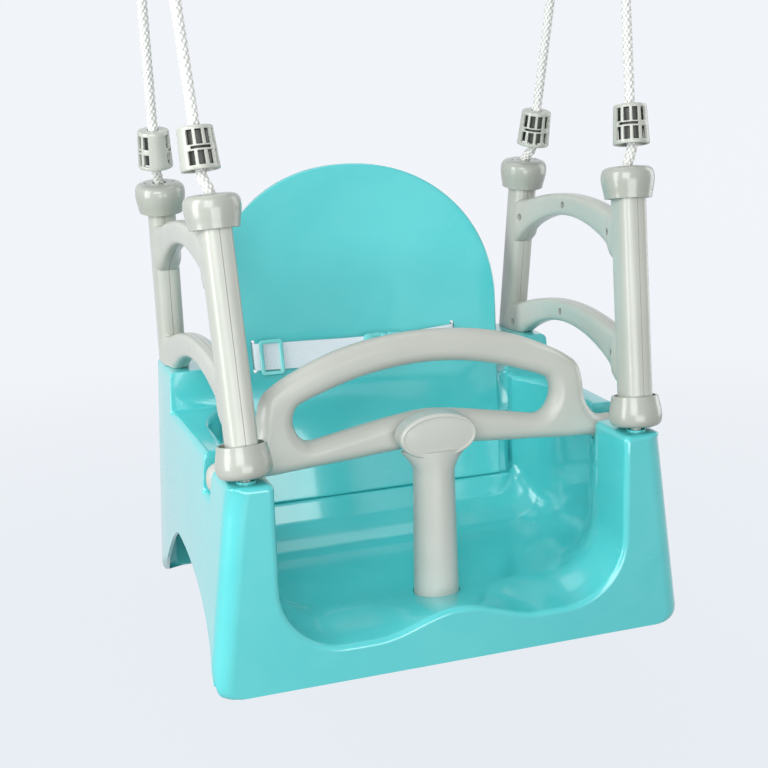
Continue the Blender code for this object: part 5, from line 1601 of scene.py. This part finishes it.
@dataclass(frozen=True)
class FramePlane:
    """The parting plane of the right-hand side frame: it leans back on the tub, outwards upwards and outwards
    to the rear."""

    pitch: float = math.radians(2.5)
    x: float = 0.1728
    flare: float = 0.030
    splay: float = 0.013

    def leaned(self, points: Sequence[Vec]) -> Array:
        """Points given by offset, depth and height in the plane: turned by the pitch, sheared outwards."""
        points = np.asarray(points, float)
        c, s = math.cos(self.pitch), math.sin(self.pitch)
        y = points[..., 1] * c + points[..., 2] * s
        z = -points[..., 1] * s + points[..., 2] * c
        x = self.x + points[..., 0] + self.flare * (z - 0.2) + self.splay * (y - 0.02)
        return np.stack([x, y, z], -1)

    def on_tube(self, tube: Tube, z: float) -> Array:
        """A point of a tube's axis."""
        return self.leaned((0.0, tube.y(z), z))

    def level_on(self, tube: Tube, height: float) -> float:
        """Height in the plane where a tube's axis is at a height above the datum, by correction."""
        z = height
        for _ in range(20):
            z += height - self.on_tube(tube, z)[2]
        return z

    def axis(self, tube: Tube) -> Array:
        """Direction of a tube's axis, upwards."""
        return unit(self.on_tube(tube, TUBE_TOP_Z) - self.on_tube(tube, BLOCK_Z))

    def cap_seat(self) -> float:
        """How far a cap's underside lies over the end of the tube's axis, on its outer rim."""
        return FIT + self.flare * FRONT_TUBE.half[0]

    def front_low(self) -> float:
        """Foot of the front tube in the plane, its cup just clear of the boss on the post."""
        axis = self.axis(FRONT_TUBE)
        tip = COLLAR_R * math.hypot(axis[0], axis[1])
        return self.level_on(FRONT_TUBE, POST_Z + BOSS_H + FIT + tip + (CAP_TOP + self.cap_seat()) * axis[2])

    def seat(self, tube: Tube) -> Array:
        """Where a tube's rope passes the top of its post or block."""
        return self.on_tube(tube, self.level_on(tube, POST_Z if tube is FRONT_TUBE else BLOCK_Z))


PLANE = FramePlane()


@dataclass
class SideFrame:
    """One side frame: two upright tubes joined by two arched ribs, in an outer and an inner shell, with its
    screws, the caps on its tubes, and the cup under its front one."""

    name: str
    sign: float
    arch_mid_y: float = 0.138
    crowns: Pair = (0.3716, 0.2721)
    band: float = 0.0200
    top_sag: float = 1.38
    under_sag: float = 2.60
    rib_half: float = 0.0085
    web: float = 0.0042  # how much a rib swells where it meets a tube
    web_run: float = 0.0065
    bore: float = COLLAR_R + 0.0004
    screw_seat: float = 0.0035
    screw_grip: float = 0.0050
    screw_from_tube: float = 0.0200

    def solid(self, points: Array, faces: Iterable[Sequence[int]]) -> Piece:
        """A solid from points in the right-hand plane."""
        return new_mesh("part", on_side(PLANE.leaned(points), self.sign), faces)

    def tube(self, tube: Tube, low: float, level_foot: bool) -> Piece:
        """A tube: a squared-off ellipse from its foot to its top, cut square to its axis, or level at the
        foot.

        Args:
            tube: Its place and section.
            low: Height of its foot in the plane.
            level_foot: Whether the foot stands level on a block.

        Returns:
            The tube.
        """
        section = superellipse(tube.half, 3.0, 72)
        slope = math.atan(tube.travel)
        rings = []
        for z, level in ((low, level_foot), (TUBE_TOP_Z, False)):
            lean = -PLANE.pitch if level else slope
            rings.append(np.stack([section[:, 0], tube.y(z) + section[:, 1] * math.cos(lean),
                                   z - section[:, 1] * math.sin(lean)], 1))
        return self.solid(*lofted(np.array(rings)))

    def middle(self, y: Array, crown: float) -> tuple[Array, Array]:
        """Height of a rib's middle and half its depth, between two parabolas, the lower steeper."""
        top = crown - self.top_sag * (y - self.arch_mid_y) ** 2
        low = crown - self.band - self.under_sag * (y - self.arch_mid_y) ** 2
        return 0.5 * (top + low), 0.5 * (top - low)

    def ends(self, crown: float) -> Pair:
        """Depths at which a rib meets the tubes' axes."""
        return FRONT_TUBE.y(crown - self.band), REAR_TUBE.y(crown - self.band)

    def rib(self, crown: float) -> Piece:
        """An arched rib: a squared-off section between two parabolas, swelling by a fading curve at each
        tube.

        Args:
            crown: Height of its crown in the plane.

        Returns:
            The rib.
        """
        start, end = self.ends(crown)
        y = start + (end - start) * np.linspace(0.0, 1.0, 61)
        middle, half = self.middle(y, crown)
        near = np.exp(-np.maximum(y - start - FRONT_TUBE.half[1], 0) / self.web_run)
        near += np.exp(-np.maximum(end - y - REAR_TUBE.half[1], 0) / self.web_run)
        section = superellipse((1.0, 1.0), 4.0, 48)
        wide = self.rib_half + np.minimum(self.web * near, 0.0034)
        points = np.stack([
            wide[:, None] * section[None, :, 0],
            y[:, None] + 0 * section[None, :, 0],
            middle[:, None] + (half + self.web * near)[:, None] * section[None, :, 1],
        ], 2)
        return self.solid(*lofted(points))

    def beyond(self, side: float) -> Piece:
        """A block over all that lies beyond the parting plane from the shell that is kept."""
        rows = [(offset, y, z) for z in (0.1, 0.5) for offset, y in
                ((0.5 * side * PARTING, -0.1), (-0.1 * side, -0.1), (-0.1 * side, 0.4),
                 (0.5 * side * PARTING, 0.4))]
        return self.solid(*lofted(np.array(rows).reshape(2, 4, 3)))

    def screw_points(self) -> list[Array]:
        """Where the six screws stand on the right-hand parting plane."""
        found = []
        for crown in self.crowns:
            start, end = self.ends(crown)
            for y in (start + self.screw_from_tube, 0.5 * (start + end), end - self.screw_from_tube):
                found.append(PLANE.leaned((0.0, y, self.middle(np.array(y), crown)[0])))
        return found

    def shell(self, name: str, side: float) -> Piece:
        """One shell of the frame: tubes and ribs joined, less all beyond the parting plane, the tubes' bores
        and the screws' holes.

        Args:
            name: The piece's name.
            side: 1 for the outer shell, -1 for the inner one.

        Returns:
            The shell.
        """
        rear_low = PLANE.level_on(REAR_TUBE, BLOCK_Z + FIT)
        runs = ((FRONT_TUBE, PLANE.front_low(), False), (REAR_TUBE, rear_low, True))
        parts = [self.tube(*run) for run in runs] + [self.rib(crown) for crown in self.crowns]
        shell = parts[0]
        shell.name = name
        combine(shell, parts[1:], Join.ADD)
        cutters = [self.beyond(side)]
        for tube, low, _ in runs:
            start, end = (on_side(PLANE.on_tube(tube, z), self.sign) for z in (low - 0.01, TUBE_TOP_Z + 0.01))
            cutters.append(rod(start, end - start, self.bore, float(np.linalg.norm(end - start))))
        cutters.append(block((-0.3, BLOCK_FRONT_Y - 0.01, 0.0), (0.3, 0.4, BLOCK_Z + FIT)))
        inward = np.array([-self.sign, 0.0, 0.0])
        for point in self.screw_points():
            base = on_side(point, self.sign)
            if side < 0:
                cutters.append(rod(base - 0.01 * inward, inward, SHANK_HOLE_R, 0.03))
                cutters.append(rod(base + self.screw_seat * inward, inward, PAN_HOLE_R, 0.01))
            else:
                cutters.append(rod(base - self.screw_grip * inward, inward, SHANK_HOLE_R, 0.02))
        combine(shell, cutters, Join.CUT)
        face_outwards(shell)
        return shell

    def cap(self, name: str, base: Array, axis: Array) -> Piece:
        """A cap, mouth first: a turned mushroom with rounded shoulders, a rope hole and two small moulding
        holes.

        Args:
            name: The piece's name.
            base: Middle of its mouth.
            axis: From its mouth to its top.

        Returns:
            The cap.
        """
        outside = smooth_curve([(0.0200, 0.0003), (0.0207, 0.0045), (0.0217, 0.0092), (0.0225, 0.0145),
                                (0.0226, 0.0186), (0.0219, 0.0225), (0.0198, 0.0253), (0.0158, 0.0267),
                                (0.0105, 0.0270), (0.0069, 0.0269)], 4)
        under = CAP_HEIGHT - CAP_TOP
        inside = [(ROPE_HOLE_R, 0.0263), (ROPE_HOLE_R, under), (CAP_BORE_R, under), (CAP_BORE_R, 0.0003),
                  (CAP_BORE_R + 0.0003, 0.0)]
        profile = np.vstack([[(0.0197, 0.0)], outside, inside])
        made = new_mesh(name, *turned(profile, axis, base, MOST))
        side = unit(np.cross(BACK, axis))
        holes = []
        for offset in (-0.0128, 0.0128):
            start = base + offset * side + (CAP_HEIGHT - 0.0022) * unit(axis)
            holes.append(rod(start, axis, 0.0016, 0.004))
        combine(made, holes, Join.CUT)
        face_outwards(made)
        return made

    def dress(self) -> None:
        """Builds and places the shells, screws, caps and cup."""
        for half, side in (("outer", 1.0), ("inner", -1.0)):
            made = self.shell(f"frame_{self.name}_{half}_shell", side)
            fit(made, "seat", Finish.FRAME, f"frame_{self.name}_{half}")
        tip = self.screw_grip - FIT
        for index, point in enumerate(self.screw_points()):
            node = f"frame_screw_{self.name}_{index + 1}"
            base = on_side(point, self.sign) + np.array([self.sign * tip, 0.0, 0.0])
            made = Screw(tip + self.screw_seat + FIT).build(f"{node}_pan", base, (-self.sign, 0, 0))
            # the screw's dark finish is painted shade for its hole in the frame
            fit(made, "seat", Finish.SCREW, node)
        reach = CAP_HEIGHT - CAP_TOP - PLANE.cap_seat()
        for end, tube in (("front", FRONT_TUBE), ("rear", REAR_TUBE)):
            axis = PLANE.axis(tube)
            base = on_side(PLANE.on_tube(tube, TUBE_TOP_Z) - reach * axis, self.sign)
            made = self.cap(f"cap_{self.name}_{end}_moulding", base, on_side(axis, self.sign))
            fit(made, "seat", Finish.CAP, f"cap_{self.name}_{end}")
        axis = PLANE.axis(FRONT_TUBE)
        base = on_side(PLANE.on_tube(FRONT_TUBE, PLANE.front_low()) + reach * axis, self.sign)
        made = self.cap(f"cup_{self.name}_moulding", base, on_side(-axis, self.sign))
        fit(made, "seat", Finish.CAP, f"cup_{self.name}")
        seat = on_side(PLANE.seat(FRONT_TUBE), self.sign)
        boss = [(ROPE_HOLE_R, -0.001), (COLLAR_R, -0.001), (COLLAR_R, BOSS_H - 0.0003),
                (COLLAR_R - 0.0003, BOSS_H), (ROPE_HOLE_R, BOSS_H)]
        made = new_mesh(f"post_boss_{self.name}", *turned(boss, UP, seat, SOME))
        fit(made, "seat", Finish.TURQUOISE)


# Ropes, adjusters and hanging gear

ADJUSTER_Z = {"front": 0.4158, "rear": 0.4039}
ADJUSTER_FACING = {("left", "front"): -76, ("left", "rear"): -177, ("right", "front"): -117,
                   ("right", "rear"): -111}
ROPE_FEET = {"front": (0.1847, 0.0506, ADJUSTER_Z["front"]), "rear": (0.1855, 0.2492, ADJUSTER_Z["rear"])}
THIMBLE_R = 0.0190  # of the rope's centre line
RING_SPREAD = 0.2050


def contact_turn(end: str) -> float:
    """Angle about the swing axis at which a leg meets its thimble: the tangent from its foot."""
    _, y, z = ROPE_FEET[end]
    distance = math.hypot(y - SWING_AXIS[1], z - SWING_AXIS[2])
    lean = math.acos(THIMBLE_R / distance) * (-1 if end == "front" else 1)
    return math.atan2(z - SWING_AXIS[2], y - SWING_AXIS[1]) + lean


def on_thimble(turn: float) -> Array:
    """A point of the rope's centre line round the right-hand thimble."""
    return np.array([RING_SPREAD, SWING_AXIS[1] + THIMBLE_R * math.cos(turn),
                     SWING_AXIS[2] + THIMBLE_R * math.sin(turn)])


def rope_line(end: str) -> tuple[Array, Array]:
    """The foot of an adjuster on its rope, and the direction up to the thimble."""
    foot = np.array(ROPE_FEET[end])
    return foot, unit(on_thimble(contact_turn(end)) - foot)


@dataclass
class Rope:
    """One side's rope, from its knot under a post, up through the front tube and its adjuster, over the
    thimble, and down through the rear adjuster and tube to its knot under the block."""

    name: str
    sign: float
    radius: float = ROPE_R
    strands: int = 6
    bump_mm: float = 6.2  # length of one bump of the braid
    relief: float = 0.27  # depth of the valleys, as a share of the radius
    washer: Pair = (0.0088, 0.0016)
    knot: Pair = (0.0098, 0.0105)
    pitch: float = 0.0011  # between the braid's rings of points
    around: int = 40  # points in a ring
    route_step: int = 6  # every such point of the path goes into the cord's route

    @staticmethod
    def length(path: Array) -> float:
        """Length of a line through points."""
        return float(np.linalg.norm(np.diff(path, axis=0), axis=1).sum())

    def leg(self, end: str) -> list[Array]:
        """Chosen points of one leg, from its knot up to where it meets the thimble."""
        tube = FRONT_TUBE if end == "front" else REAR_TUBE
        seat = PLANE.seat(tube)
        top = POST_Z if end == "front" else BLOCK_Z
        start_z = top - TUB_WALL - self.washer[1] - 3 * FIT
        foot, along = rope_line(end)
        contact = on_thimble(contact_turn(end))
        route = [(seat[0], seat[1], start_z), (seat[0], seat[1], start_z + 0.012)]
        route += [PLANE.on_tube(tube, TUBE_TOP_Z - 0.120), PLANE.on_tube(tube, TUBE_TOP_Z + CAP_TOP)]
        route += [foot - 0.004 * along, foot + 0.020 * along]
        route += [foot + (contact - foot) * part for part in (0.3, 0.55, 0.8, 1.0)]
        return [np.asarray(p, float) for p in route]

    def path(self) -> Array:
        """The rope's centre line: a smooth curve through both legs and round the thimble."""
        start, end = contact_turn("front") % math.tau, contact_turn("rear")
        over = [on_thimble(start + (end - start) * i / OVER_STEPS) for i in range(1, OVER_STEPS)]
        return smooth_curve(on_side(self.leg("front") + over + self.leg("rear")[::-1], self.sign), 24)

    def build(self, path: Array) -> Piece:
        """Builds the braid: a tube round the path whose radius falls from each bump's crown to the valleys,
        the bumps being where the cosines of two crossed helices are both near one.

        Args:
            path: The rope's centre line.

        Returns:
            The rope.
        """
        length = self.length(path)
        line = resampled(path, int(length / self.pitch))
        tangent = np.gradient(line, axis=0)
        tangent /= np.linalg.norm(tangent, axis=1)[:, None]
        side = np.array([1.0, 0.0, 0.0]) - tangent[:, :1] * tangent
        side /= np.linalg.norm(side, axis=1)[:, None]
        other = np.cross(tangent, side)
        turn = math.tau * np.arange(self.around)[None, :] / self.around
        run = np.linspace(0.0, length, len(line))[:, None] * 1000
        lay = math.pi * run / self.bump_mm
        half = 0.5 * self.strands
        height = np.abs(np.cos(half * turn + lay) * np.cos(half * turn - lay)) ** 0.7
        r = self.radius * (1 - self.relief * (1 - height))
        wide, deep = (r * np.cos(turn))[..., None], (r * np.sin(turn))[..., None]
        points = line[:, None, :] + wide * side[:, None, :] + deep * other[:, None, :]
        made = new_mesh(f"rope_{self.name}_braid", *lofted(points))
        mark(made, height.ravel())
        lay_uv(made, np.repeat(run[:, 0], self.around), np.tile(turn[0] * self.radius * 1000, len(line)),
               math.tau * self.radius * 1000)
        return made

    def build_knot(self, name: str, middle: Array) -> Piece:
        """Builds a stopper knot drawn tight: a round body whose surface rises over three strands that wind
        round it.

        Args:
            name: The piece's name.
            middle: Its middle.

        Returns:
            The knot.
        """
        radius, half = self.knot
        rows, columns, wound, climb = 41, 72, 1.5, 1.6
        lift = np.linspace(-0.5 * math.pi, 0.5 * math.pi, rows)[:, None]
        turn = math.tau * np.arange(columns)[None, :] / columns
        strand = np.abs(np.cos(wound * turn + climb * lift))
        body = radius * (0.80 + 0.20 * strand ** 0.6)
        r = np.maximum(body * np.cos(lift) ** 0.55, 0.0)
        z = half * np.sin(lift) * (0.94 + 0.06 * strand)
        points = middle + np.stack([r * np.cos(turn), r * np.sin(turn), z + 0 * turn], 2)
        made = new_mesh(name, points.reshape(-1, 3), grid_faces(rows, columns, False, True))
        local = points_of(made) - middle
        angle = np.arctan2(local[:, 1], local[:, 0])
        rise = np.arcsin(np.clip(local[:, 2] / half, -1, 1))
        mark(made, np.abs(np.cos(wound * angle + climb * rise)) ** 0.6)
        lay_uv(made, local[:, 2] * 1000, angle * radius * 1000, math.tau * radius * 1000)
        return made

    def dress(self) -> None:
        """Builds and places the rope, its washers and knots."""
        path = self.path()
        made = self.build(path)
        fit(made, "seat", Finish.ROPE, f"rope_{self.name}", smooth=math.pi)
        for end, tube, top in (("front", FRONT_TUBE, POST_Z), ("rear", REAR_TUBE, BLOCK_Z)):
            x, y, _ = PLANE.seat(tube)
            under = top - TUB_WALL - FIT
            radius, thick = self.washer
            rim = 0.0003
            profile = [(ROPE_HOLE_R, rim), (ROPE_HOLE_R + rim, 0.0), (radius - rim, 0.0), (radius, rim),
                       (radius, thick - rim), (radius - rim, thick), (ROPE_HOLE_R + rim, thick),
                       (ROPE_HOLE_R, thick - rim)]
            washer = new_mesh(f"washer_{self.name}_{end}_ring",
                              *turned(profile, UP, (self.sign * x, y, under - thick), SOME))
            fit(washer, "seat", Finish.STEEL, f"washer_{self.name}_{end}")
            middle = np.array([self.sign * x, y, under - thick - 3 * FIT - self.knot[1]])
            knot = self.build_knot(f"knot_{self.name}_{end}_tied", middle)
            fit(knot, "seat", Finish.ROPE, f"knot_{self.name}_{end}", smooth=math.pi)
        route = (path[:: self.route_step] + DATUM).tolist()
        if (len(path) - 1) % self.route_step:
            route.append((path[-1] + DATUM).tolist())


def mark(made: Piece, height: Array) -> None:
    """Stores how high each point of a braid lies, from 0 in a valley to 1 on a crown."""
    if len(made.data.vertices) != len(height):
        raise ValueError(f"{made.name}: {len(height)} heights for {len(made.data.vertices)} points")
    layer = made.data.attributes.new("strand", "FLOAT", "POINT")
    layer.data.foreach_set("value", height.astype(np.float32))


@dataclass
class Adjuster:
    """A rope adjuster: two half shells with windows between plain bands at the seams, and a roof that the
    rope runs through."""

    name: str
    end: str
    sign: float
    facing: float  # where its windows look, in degrees about the rope from the seat's right
    height: float = 0.0335
    top_r: float = 0.0140
    foot_r: float = 0.0156
    wall: float = 0.0022
    roof: float = 0.93
    clearance: float = 0.0005
    seam_turn: float = 0.7
    least_turn: float = 4.0  # an opening that the seam leaves narrower stays closed
    line_turn: float = 3.5  # about how far the shell's lines are apart
    columns: tuple[Pair, ...] = ((-57, -36), (-26, -5), (5, 26), (36, 57))
    rows: tuple[Pair, ...] = ((0.10, 0.42), (0.56, 0.90))
    slot_turn: Pair = (-46, 26)
    slot_row: Pair = (0.465, 0.525)
    core_r: float = 0.0104

    def openings(self, middle: float) -> list[tuple[Pair, tuple[Pair, ...]]]:
        """What is open in one shell: the windows and the slot between their rows, turned about the rope to
        where they face, and kept clear of the seams.

        Args:
            middle: Where the shell's middle looks, in degrees about the rope.

        Returns:
            For each opening its two angles from the shell's middle, and the rows that it takes.
        """
        edge = 89.5 - self.seam_turn
        found = []
        spans = [(column, self.rows) for column in self.columns] + [(self.slot_turn, (self.slot_row,))]
        for panel in (self.facing, self.facing + 180):
            for span, rows in spans:
                start = (panel + span[0] - middle + 180) % 360 - 180
                low, high = max(start, -edge), min(start + span[1] - span[0], edge)
                if high - low > self.least_turn:
                    found.append(((low, high), rows))
        return found

    def turns(self, openings: Sequence[tuple[Pair, tuple]]) -> Array:
        """Angles of the shell's lines: evenly spaced, with each opening's edges among them."""
        edge = 90 - self.seam_turn
        marks = sorted({-edge, edge, *(round(angle, 3) for span, _ in openings for angle in span)})
        parts = [np.linspace(a, b, max(1, int((b - a) / self.line_turn)), endpoint=False)
                 for a, b in zip(marks, marks[1:])]
        return np.concatenate([*parts, [edge]])

    def radius(self, part: float) -> float:
        """Outer radius at a share of the height."""
        return self.foot_r + (self.top_r - self.foot_r) * part

    def rings(self) -> tuple[list[Pair], list[Pair]]:
        """Height as a share and radius, down the outside and over the roof, and the inside's rows."""
        marks = [0.0, 0.03, 0.10, 0.26, 0.42, self.slot_row[0], self.slot_row[1], 0.56, 0.73, 0.90]
        grip = ROPE_R + self.clearance
        outside = [(part, self.radius(part) - (0.0005 if part == 0 else 0.0)) for part in marks]
        outside += [(0.96, self.radius(0.96)), (0.99, self.top_r - 0.0006), (1.0, self.top_r - 0.0016),
                    (1.0, grip)]
        inside = [(part, self.radius(part) - self.wall) for part in (*marks, 0.91, 0.92, self.roof)]
        return outside, [*inside, (self.roof, grip)]

    def half(self, letter: str, base_turn: float) -> Piece:
        """One half shell: a grid of rings and lines outside and inside, joined round its border and round
        each window.

        Args:
            letter: The half's letter.
            base_turn: Where its middle looks, in degrees about the rope.

        Returns:
            The half shell.
        """
        foot, along = on_side(rope_line(self.end), self.sign)
        along = unit(along)
        side = unit(np.cross(BACK, along))
        other = np.cross(along, side)
        openings = self.openings(base_turn)
        turns = self.turns(openings)
        angle = np.radians(turns + base_turn)
        out = np.cos(angle)[:, None] * side + np.sin(angle)[:, None] * other
        outside, inside = self.rings()
        share, radius = np.array(outside + inside).T
        rise, wide = (v[:, None, None] for v in (share * self.height, radius))
        points = foot + rise * along + wide * out[None, :, :]
        marks = np.array([part for part, _ in outside])
        mid_row, mid_column = 0.5 * (marks[1:] + marks[:-1]), 0.5 * (turns[1:] + turns[:-1])
        solid = np.ones((len(mid_row), len(mid_column)), bool)
        for (low, high), bands in openings:
            across = (mid_column > low) & (mid_column < high)
            for bottom, top in bands:
                solid &= ~(((mid_row > bottom) & (mid_row < top))[:, None] & across[None, :])
        made = new_mesh(f"adjuster_{self.name}_{self.end}_{letter}_shell", points.reshape(-1, 3),
                        walled(solid))
        soften_edges(made, 0.0003, 2, 40)
        return made

    def core(self) -> Piece:
        """Builds the sleeve behind the windows, dark to paint the shade inside the shells, its bore flared
        where the rope turns in.
        """
        foot, along = on_side(rope_line(self.end), self.sign)
        low, high, rim = 0.10 * self.height, 0.90 * self.height, 0.0006
        bore = ROPE_R + self.clearance
        mouth, throat = bore + 0.0022, low + 0.0110
        profile = [(mouth, low), (self.core_r - rim, low), (self.core_r, low + rim),
                   (self.core_r, high - rim), (self.core_r - rim, high), (bore, high), (bore, throat)]
        return new_mesh(f"adjuster_{self.name}_{self.end}_core", *turned(profile, along, foot, MANY))

    def dress(self) -> None:
        """Builds and places both half shells and the dark sleeve that paints the shade inside them."""
        body = f"adjuster_{self.name}_{self.end}"
        for letter, turn in (("a", 90.0), ("b", -90.0)):
            fit(self.half(letter, turn), body, Finish.FRAME, f"{body}_{letter}")
        # the sleeve's dark colour is painted shade inside the adjuster
        fit(self.core(), body, Finish.CORE)


def walled(solid: Array) -> Array:
    """Faces of a wall laid out as an outer and an inner grid: each solid cell has a face on both, and each
    edge between a solid cell and an open one, or the border, has a face across the wall.

    Args:
        solid: For each cell of the grid, whether it is solid.

    Returns:
        The faces.
    """
    rows, columns = solid.shape[0] + 1, solid.shape[1] + 1
    size = rows * columns
    index = np.arange(size).reshape(rows, columns)
    r, c = np.nonzero(solid)
    a, b, d, e = index[r, c], index[r, c + 1], index[r + 1, c + 1], index[r + 1, c]
    faces = [np.stack([a, b, d, e], 1), np.stack([e, d, b, a], 1) + size]
    ringed = np.pad(solid, 1)
    for dr, dc, p, q in ((-1, 0, a, b), (1, 0, d, e), (0, 1, b, d), (0, -1, e, a)):
        bare = ~ringed[r + 1 + dr, c + 1 + dc]
        p, q = p[bare], q[bare]
        faces.append(np.stack([q, p, p + size, q + size], 1))
    return np.vstack(faces)


@dataclass
class Hanger:
    """A welded steel ring on the swing axis, and the grooved thimble that carries the rope over it."""

    name: str
    sign: float
    ring_r: float = 0.0240
    wire_r: float = 0.0040
    width: float = 0.0130

    def ring(self) -> Piece:
        """Builds the ring: a circle carried round a circle, with a low weld bead at the top."""
        centre = np.array([self.sign * RING_SPREAD, SWING_AXIS[1], SWING_AXIS[2] + self.ring_r])
        rows, columns, bead_run, bead_high = 128, 24, 0.05, 0.00015
        turn = (math.tau * np.arange(rows) / rows)[:, None]
        bend = (math.tau * np.arange(columns) / columns)[None, :]
        bead = np.exp(-((turn - 0.5 * math.pi) / bead_run) ** 2)
        r = self.wire_r - bead_high + bead_high * bead
        out = self.ring_r + r * np.cos(bend)
        points = centre + np.stack([out * np.cos(turn), r * np.sin(bend), out * np.sin(turn)], 2)
        return new_mesh(f"ring_{self.name}_welded", points.reshape(-1, 3),
                        grid_faces(rows, columns, True, True))

    def thimble(self) -> Piece:
        """Builds the thimble: a turned section with a groove for the rope."""
        step = (contact_turn("front") % math.tau - contact_turn("rear")) / OVER_STEPS
        groove = THIMBLE_R * math.cos(0.5 * step) - ROPE_R - FIT
        bore = self.wire_r + self.width**2 / (8 * self.ring_r) + 0.0006
        half, flange = 0.5 * self.width, THIMBLE_R - 0.5 * ROPE_R
        edge = 0.0006
        profile = [(bore + edge, -half), (flange - edge, -half), (flange, -half + edge),
                   (flange - edge, -half + 2 * edge)]
        curve = smooth_curve([(flange - 2 * edge, -0.72 * half), (groove, -0.33 * half), (groove, 0.0),
                              (groove, 0.33 * half), (flange - 2 * edge, 0.72 * half)], 5)
        profile += curve.tolist() + [(flange - edge, half - 2 * edge), (flange, half - edge),
                                     (flange - edge, half), (bore + edge, half), (bore, half - edge),
                                     (bore, -half + edge)]
        centre = (self.sign * RING_SPREAD, SWING_AXIS[1], SWING_AXIS[2])
        return new_mesh(f"thimble_{self.name}_wheel", *turned(profile, (1, 0, 0), centre, MOST))

    def dress(self) -> None:
        """Builds and places the ring and the thimble."""
        fit(self.ring(), "hanger", Finish.STEEL, f"ring_{self.name}")
        fit(self.thimble(), "seat", Finish.FRAME, f"thimble_{self.name}")


# Studio


@dataclass(frozen=True)
class Lamp:
    """A softbox: where it hangs from the seat's datum, its size and its power."""

    name: str
    place: tuple[float, float, float]
    size: Pair
    power: float
    aim: tuple[float, float, float] = (0.0, 0.14, 0.2)

    def hang(self) -> None:
        """Hangs the lamp, facing its aim."""
        data = bpy.data.lights.new(self.name, "AREA")
        data.shape = "RECTANGLE"
        data.size, data.size_y = self.size
        data.energy = self.power
        made = add_object(self.name, data)
        place, aim = Vector(np.array(self.place) + DATUM), Vector(np.array(self.aim) + DATUM)
        made.location = place
        made.rotation_euler = (aim - place).to_track_quat("-Z", "Y").to_euler()


@dataclass
class Studio:
    """The camera at the photograph's viewing angle, a pale floor that sweeps up behind, and soft light."""

    camera_at: tuple[float, float, float] = (-0.394, -1.1440, -0.3015)
    heading: float = math.radians(18.577)  # to the right of +Y
    downward: float = math.radians(14.151)
    roll: float = math.radians(1.797)
    lens_mm: float = 64.396
    floor_z: float = -0.34  # under the datum
    world_level: float = 0.55
    lamps: tuple[Lamp, ...] = (
        Lamp("key_softbox", (-0.85, -1.35, 0.95), (1.0, 0.9), 16.0),
        Lamp("front_softbox", (-0.15, -1.8, 0.12), (1.3, 0.8), 15.0, (0.0, 0.0, 0.1)),
        Lamp("left_strip", (-1.35, -0.15, 0.6), (0.6, 1.3), 16.0),
        Lamp("right_strip", (1.4, 0.2, 0.6), (0.7, 1.3), 7.0),
        Lamp("overhead_softbox", (0.0, 0.5, 1.7), (1.4, 1.0), 5.0),
    )

    def place_camera(self) -> None:
        """Makes the scene's camera: a heading, a downward tilt, and a turn about its own axis."""
        h, d, r = self.heading, self.downward, self.roll
        forward = Vector((math.sin(h) * math.cos(d), math.cos(h) * math.cos(d), -math.sin(d)))
        level = Vector((math.cos(h), -math.sin(h), 0.0))
        upward = level.cross(forward)
        right = level * math.cos(r) - upward * math.sin(r)
        up = upward * math.cos(r) + level * math.sin(r)
        data = bpy.data.cameras.new("camera")
        data.lens, data.sensor_width = self.lens_mm, 36.0
        data.clip_start, data.clip_end = 0.01, 50.0
        made = add_object("camera", data)
        turn = Matrix((right, up, -forward)).transposed().to_4x4()
        made.matrix_world = Matrix.Translation(Vector(self.camera_at)) @ turn
        bpy.context.scene.camera = made

    def sweep(self) -> Piece:
        """Builds the floor: level, turning up through a quarter circle into a wall all round the object.

        Returns:
            The floor.
        """
        flat, bend, high, around = 3.0, 1.2, 4.0, 64
        profile = [(0.02, 0.0), (0.5, 0.0), (1.5, 0.0)]
        profile += [(flat + bend * math.sin(a), bend * (1 - math.cos(a)))
                    for a in np.radians(np.linspace(0, 90, 16))]
        profile.append((flat + bend, high))
        turn = (math.tau * np.arange(around) / around)[None, :]
        r, z = np.array(profile).T
        points = np.stack([r[:, None] * np.cos(turn), r[:, None] * np.sin(turn),
                           z[:, None] + self.floor_z + 0 * turn], 2)
        faces = grid_faces(len(profile), around, False, True).tolist() + [list(range(around - 1, -1, -1))]
        mesh = bpy.data.meshes.new("studio_sweep")
        mesh.from_pydata((points.reshape(-1, 3) + DATUM).tolist(), [], faces)
        made = add_object("studio_sweep", mesh)
        mesh.materials.append(Finish.PAPER.material())
        mesh.shade_smooth()
        return made

    def light_world(self) -> None:
        """Gives the world an even pale light, which the camera sees as the paper's colour."""
        world = bpy.data.worlds.new("studio_world")
        bpy.context.scene.world = world
        world.use_nodes = True
        background = world.node_tree.nodes["Background"]
        background.inputs["Color"].default_value = linear("#EEF1F6")
        background.inputs["Strength"].default_value = self.world_level

    def set_up(self) -> None:
        """Places the camera, the floor and the light."""
        self.place_camera()
        self.sweep()
        self.light_world()
        for lamp in self.lamps:
            lamp.hang()
        bpy.context.scene.view_settings.view_transform = "Standard"


def main() -> None:
    """Builds the studio and then every sub-assembly of the seat."""
    logging.basicConfig(level=logging.INFO, format="%(name)s: %(message)s")
    Studio().set_up()
    for name, sign in SIDES:
        Rope(name, sign).dress()
        for end in ("front", "rear"):
            Adjuster(name, end, sign, ADJUSTER_FACING[name, end]).dress()
        Hanger(name, sign).dress()
        SideFrame(name, sign).dress()
    SeatTub().dress()
    back = Backrest()
    back.dress()
    LapBelt(back).dress()
    Guard().dress()
    Column().dress()


if __name__ == "__main__":
    main()
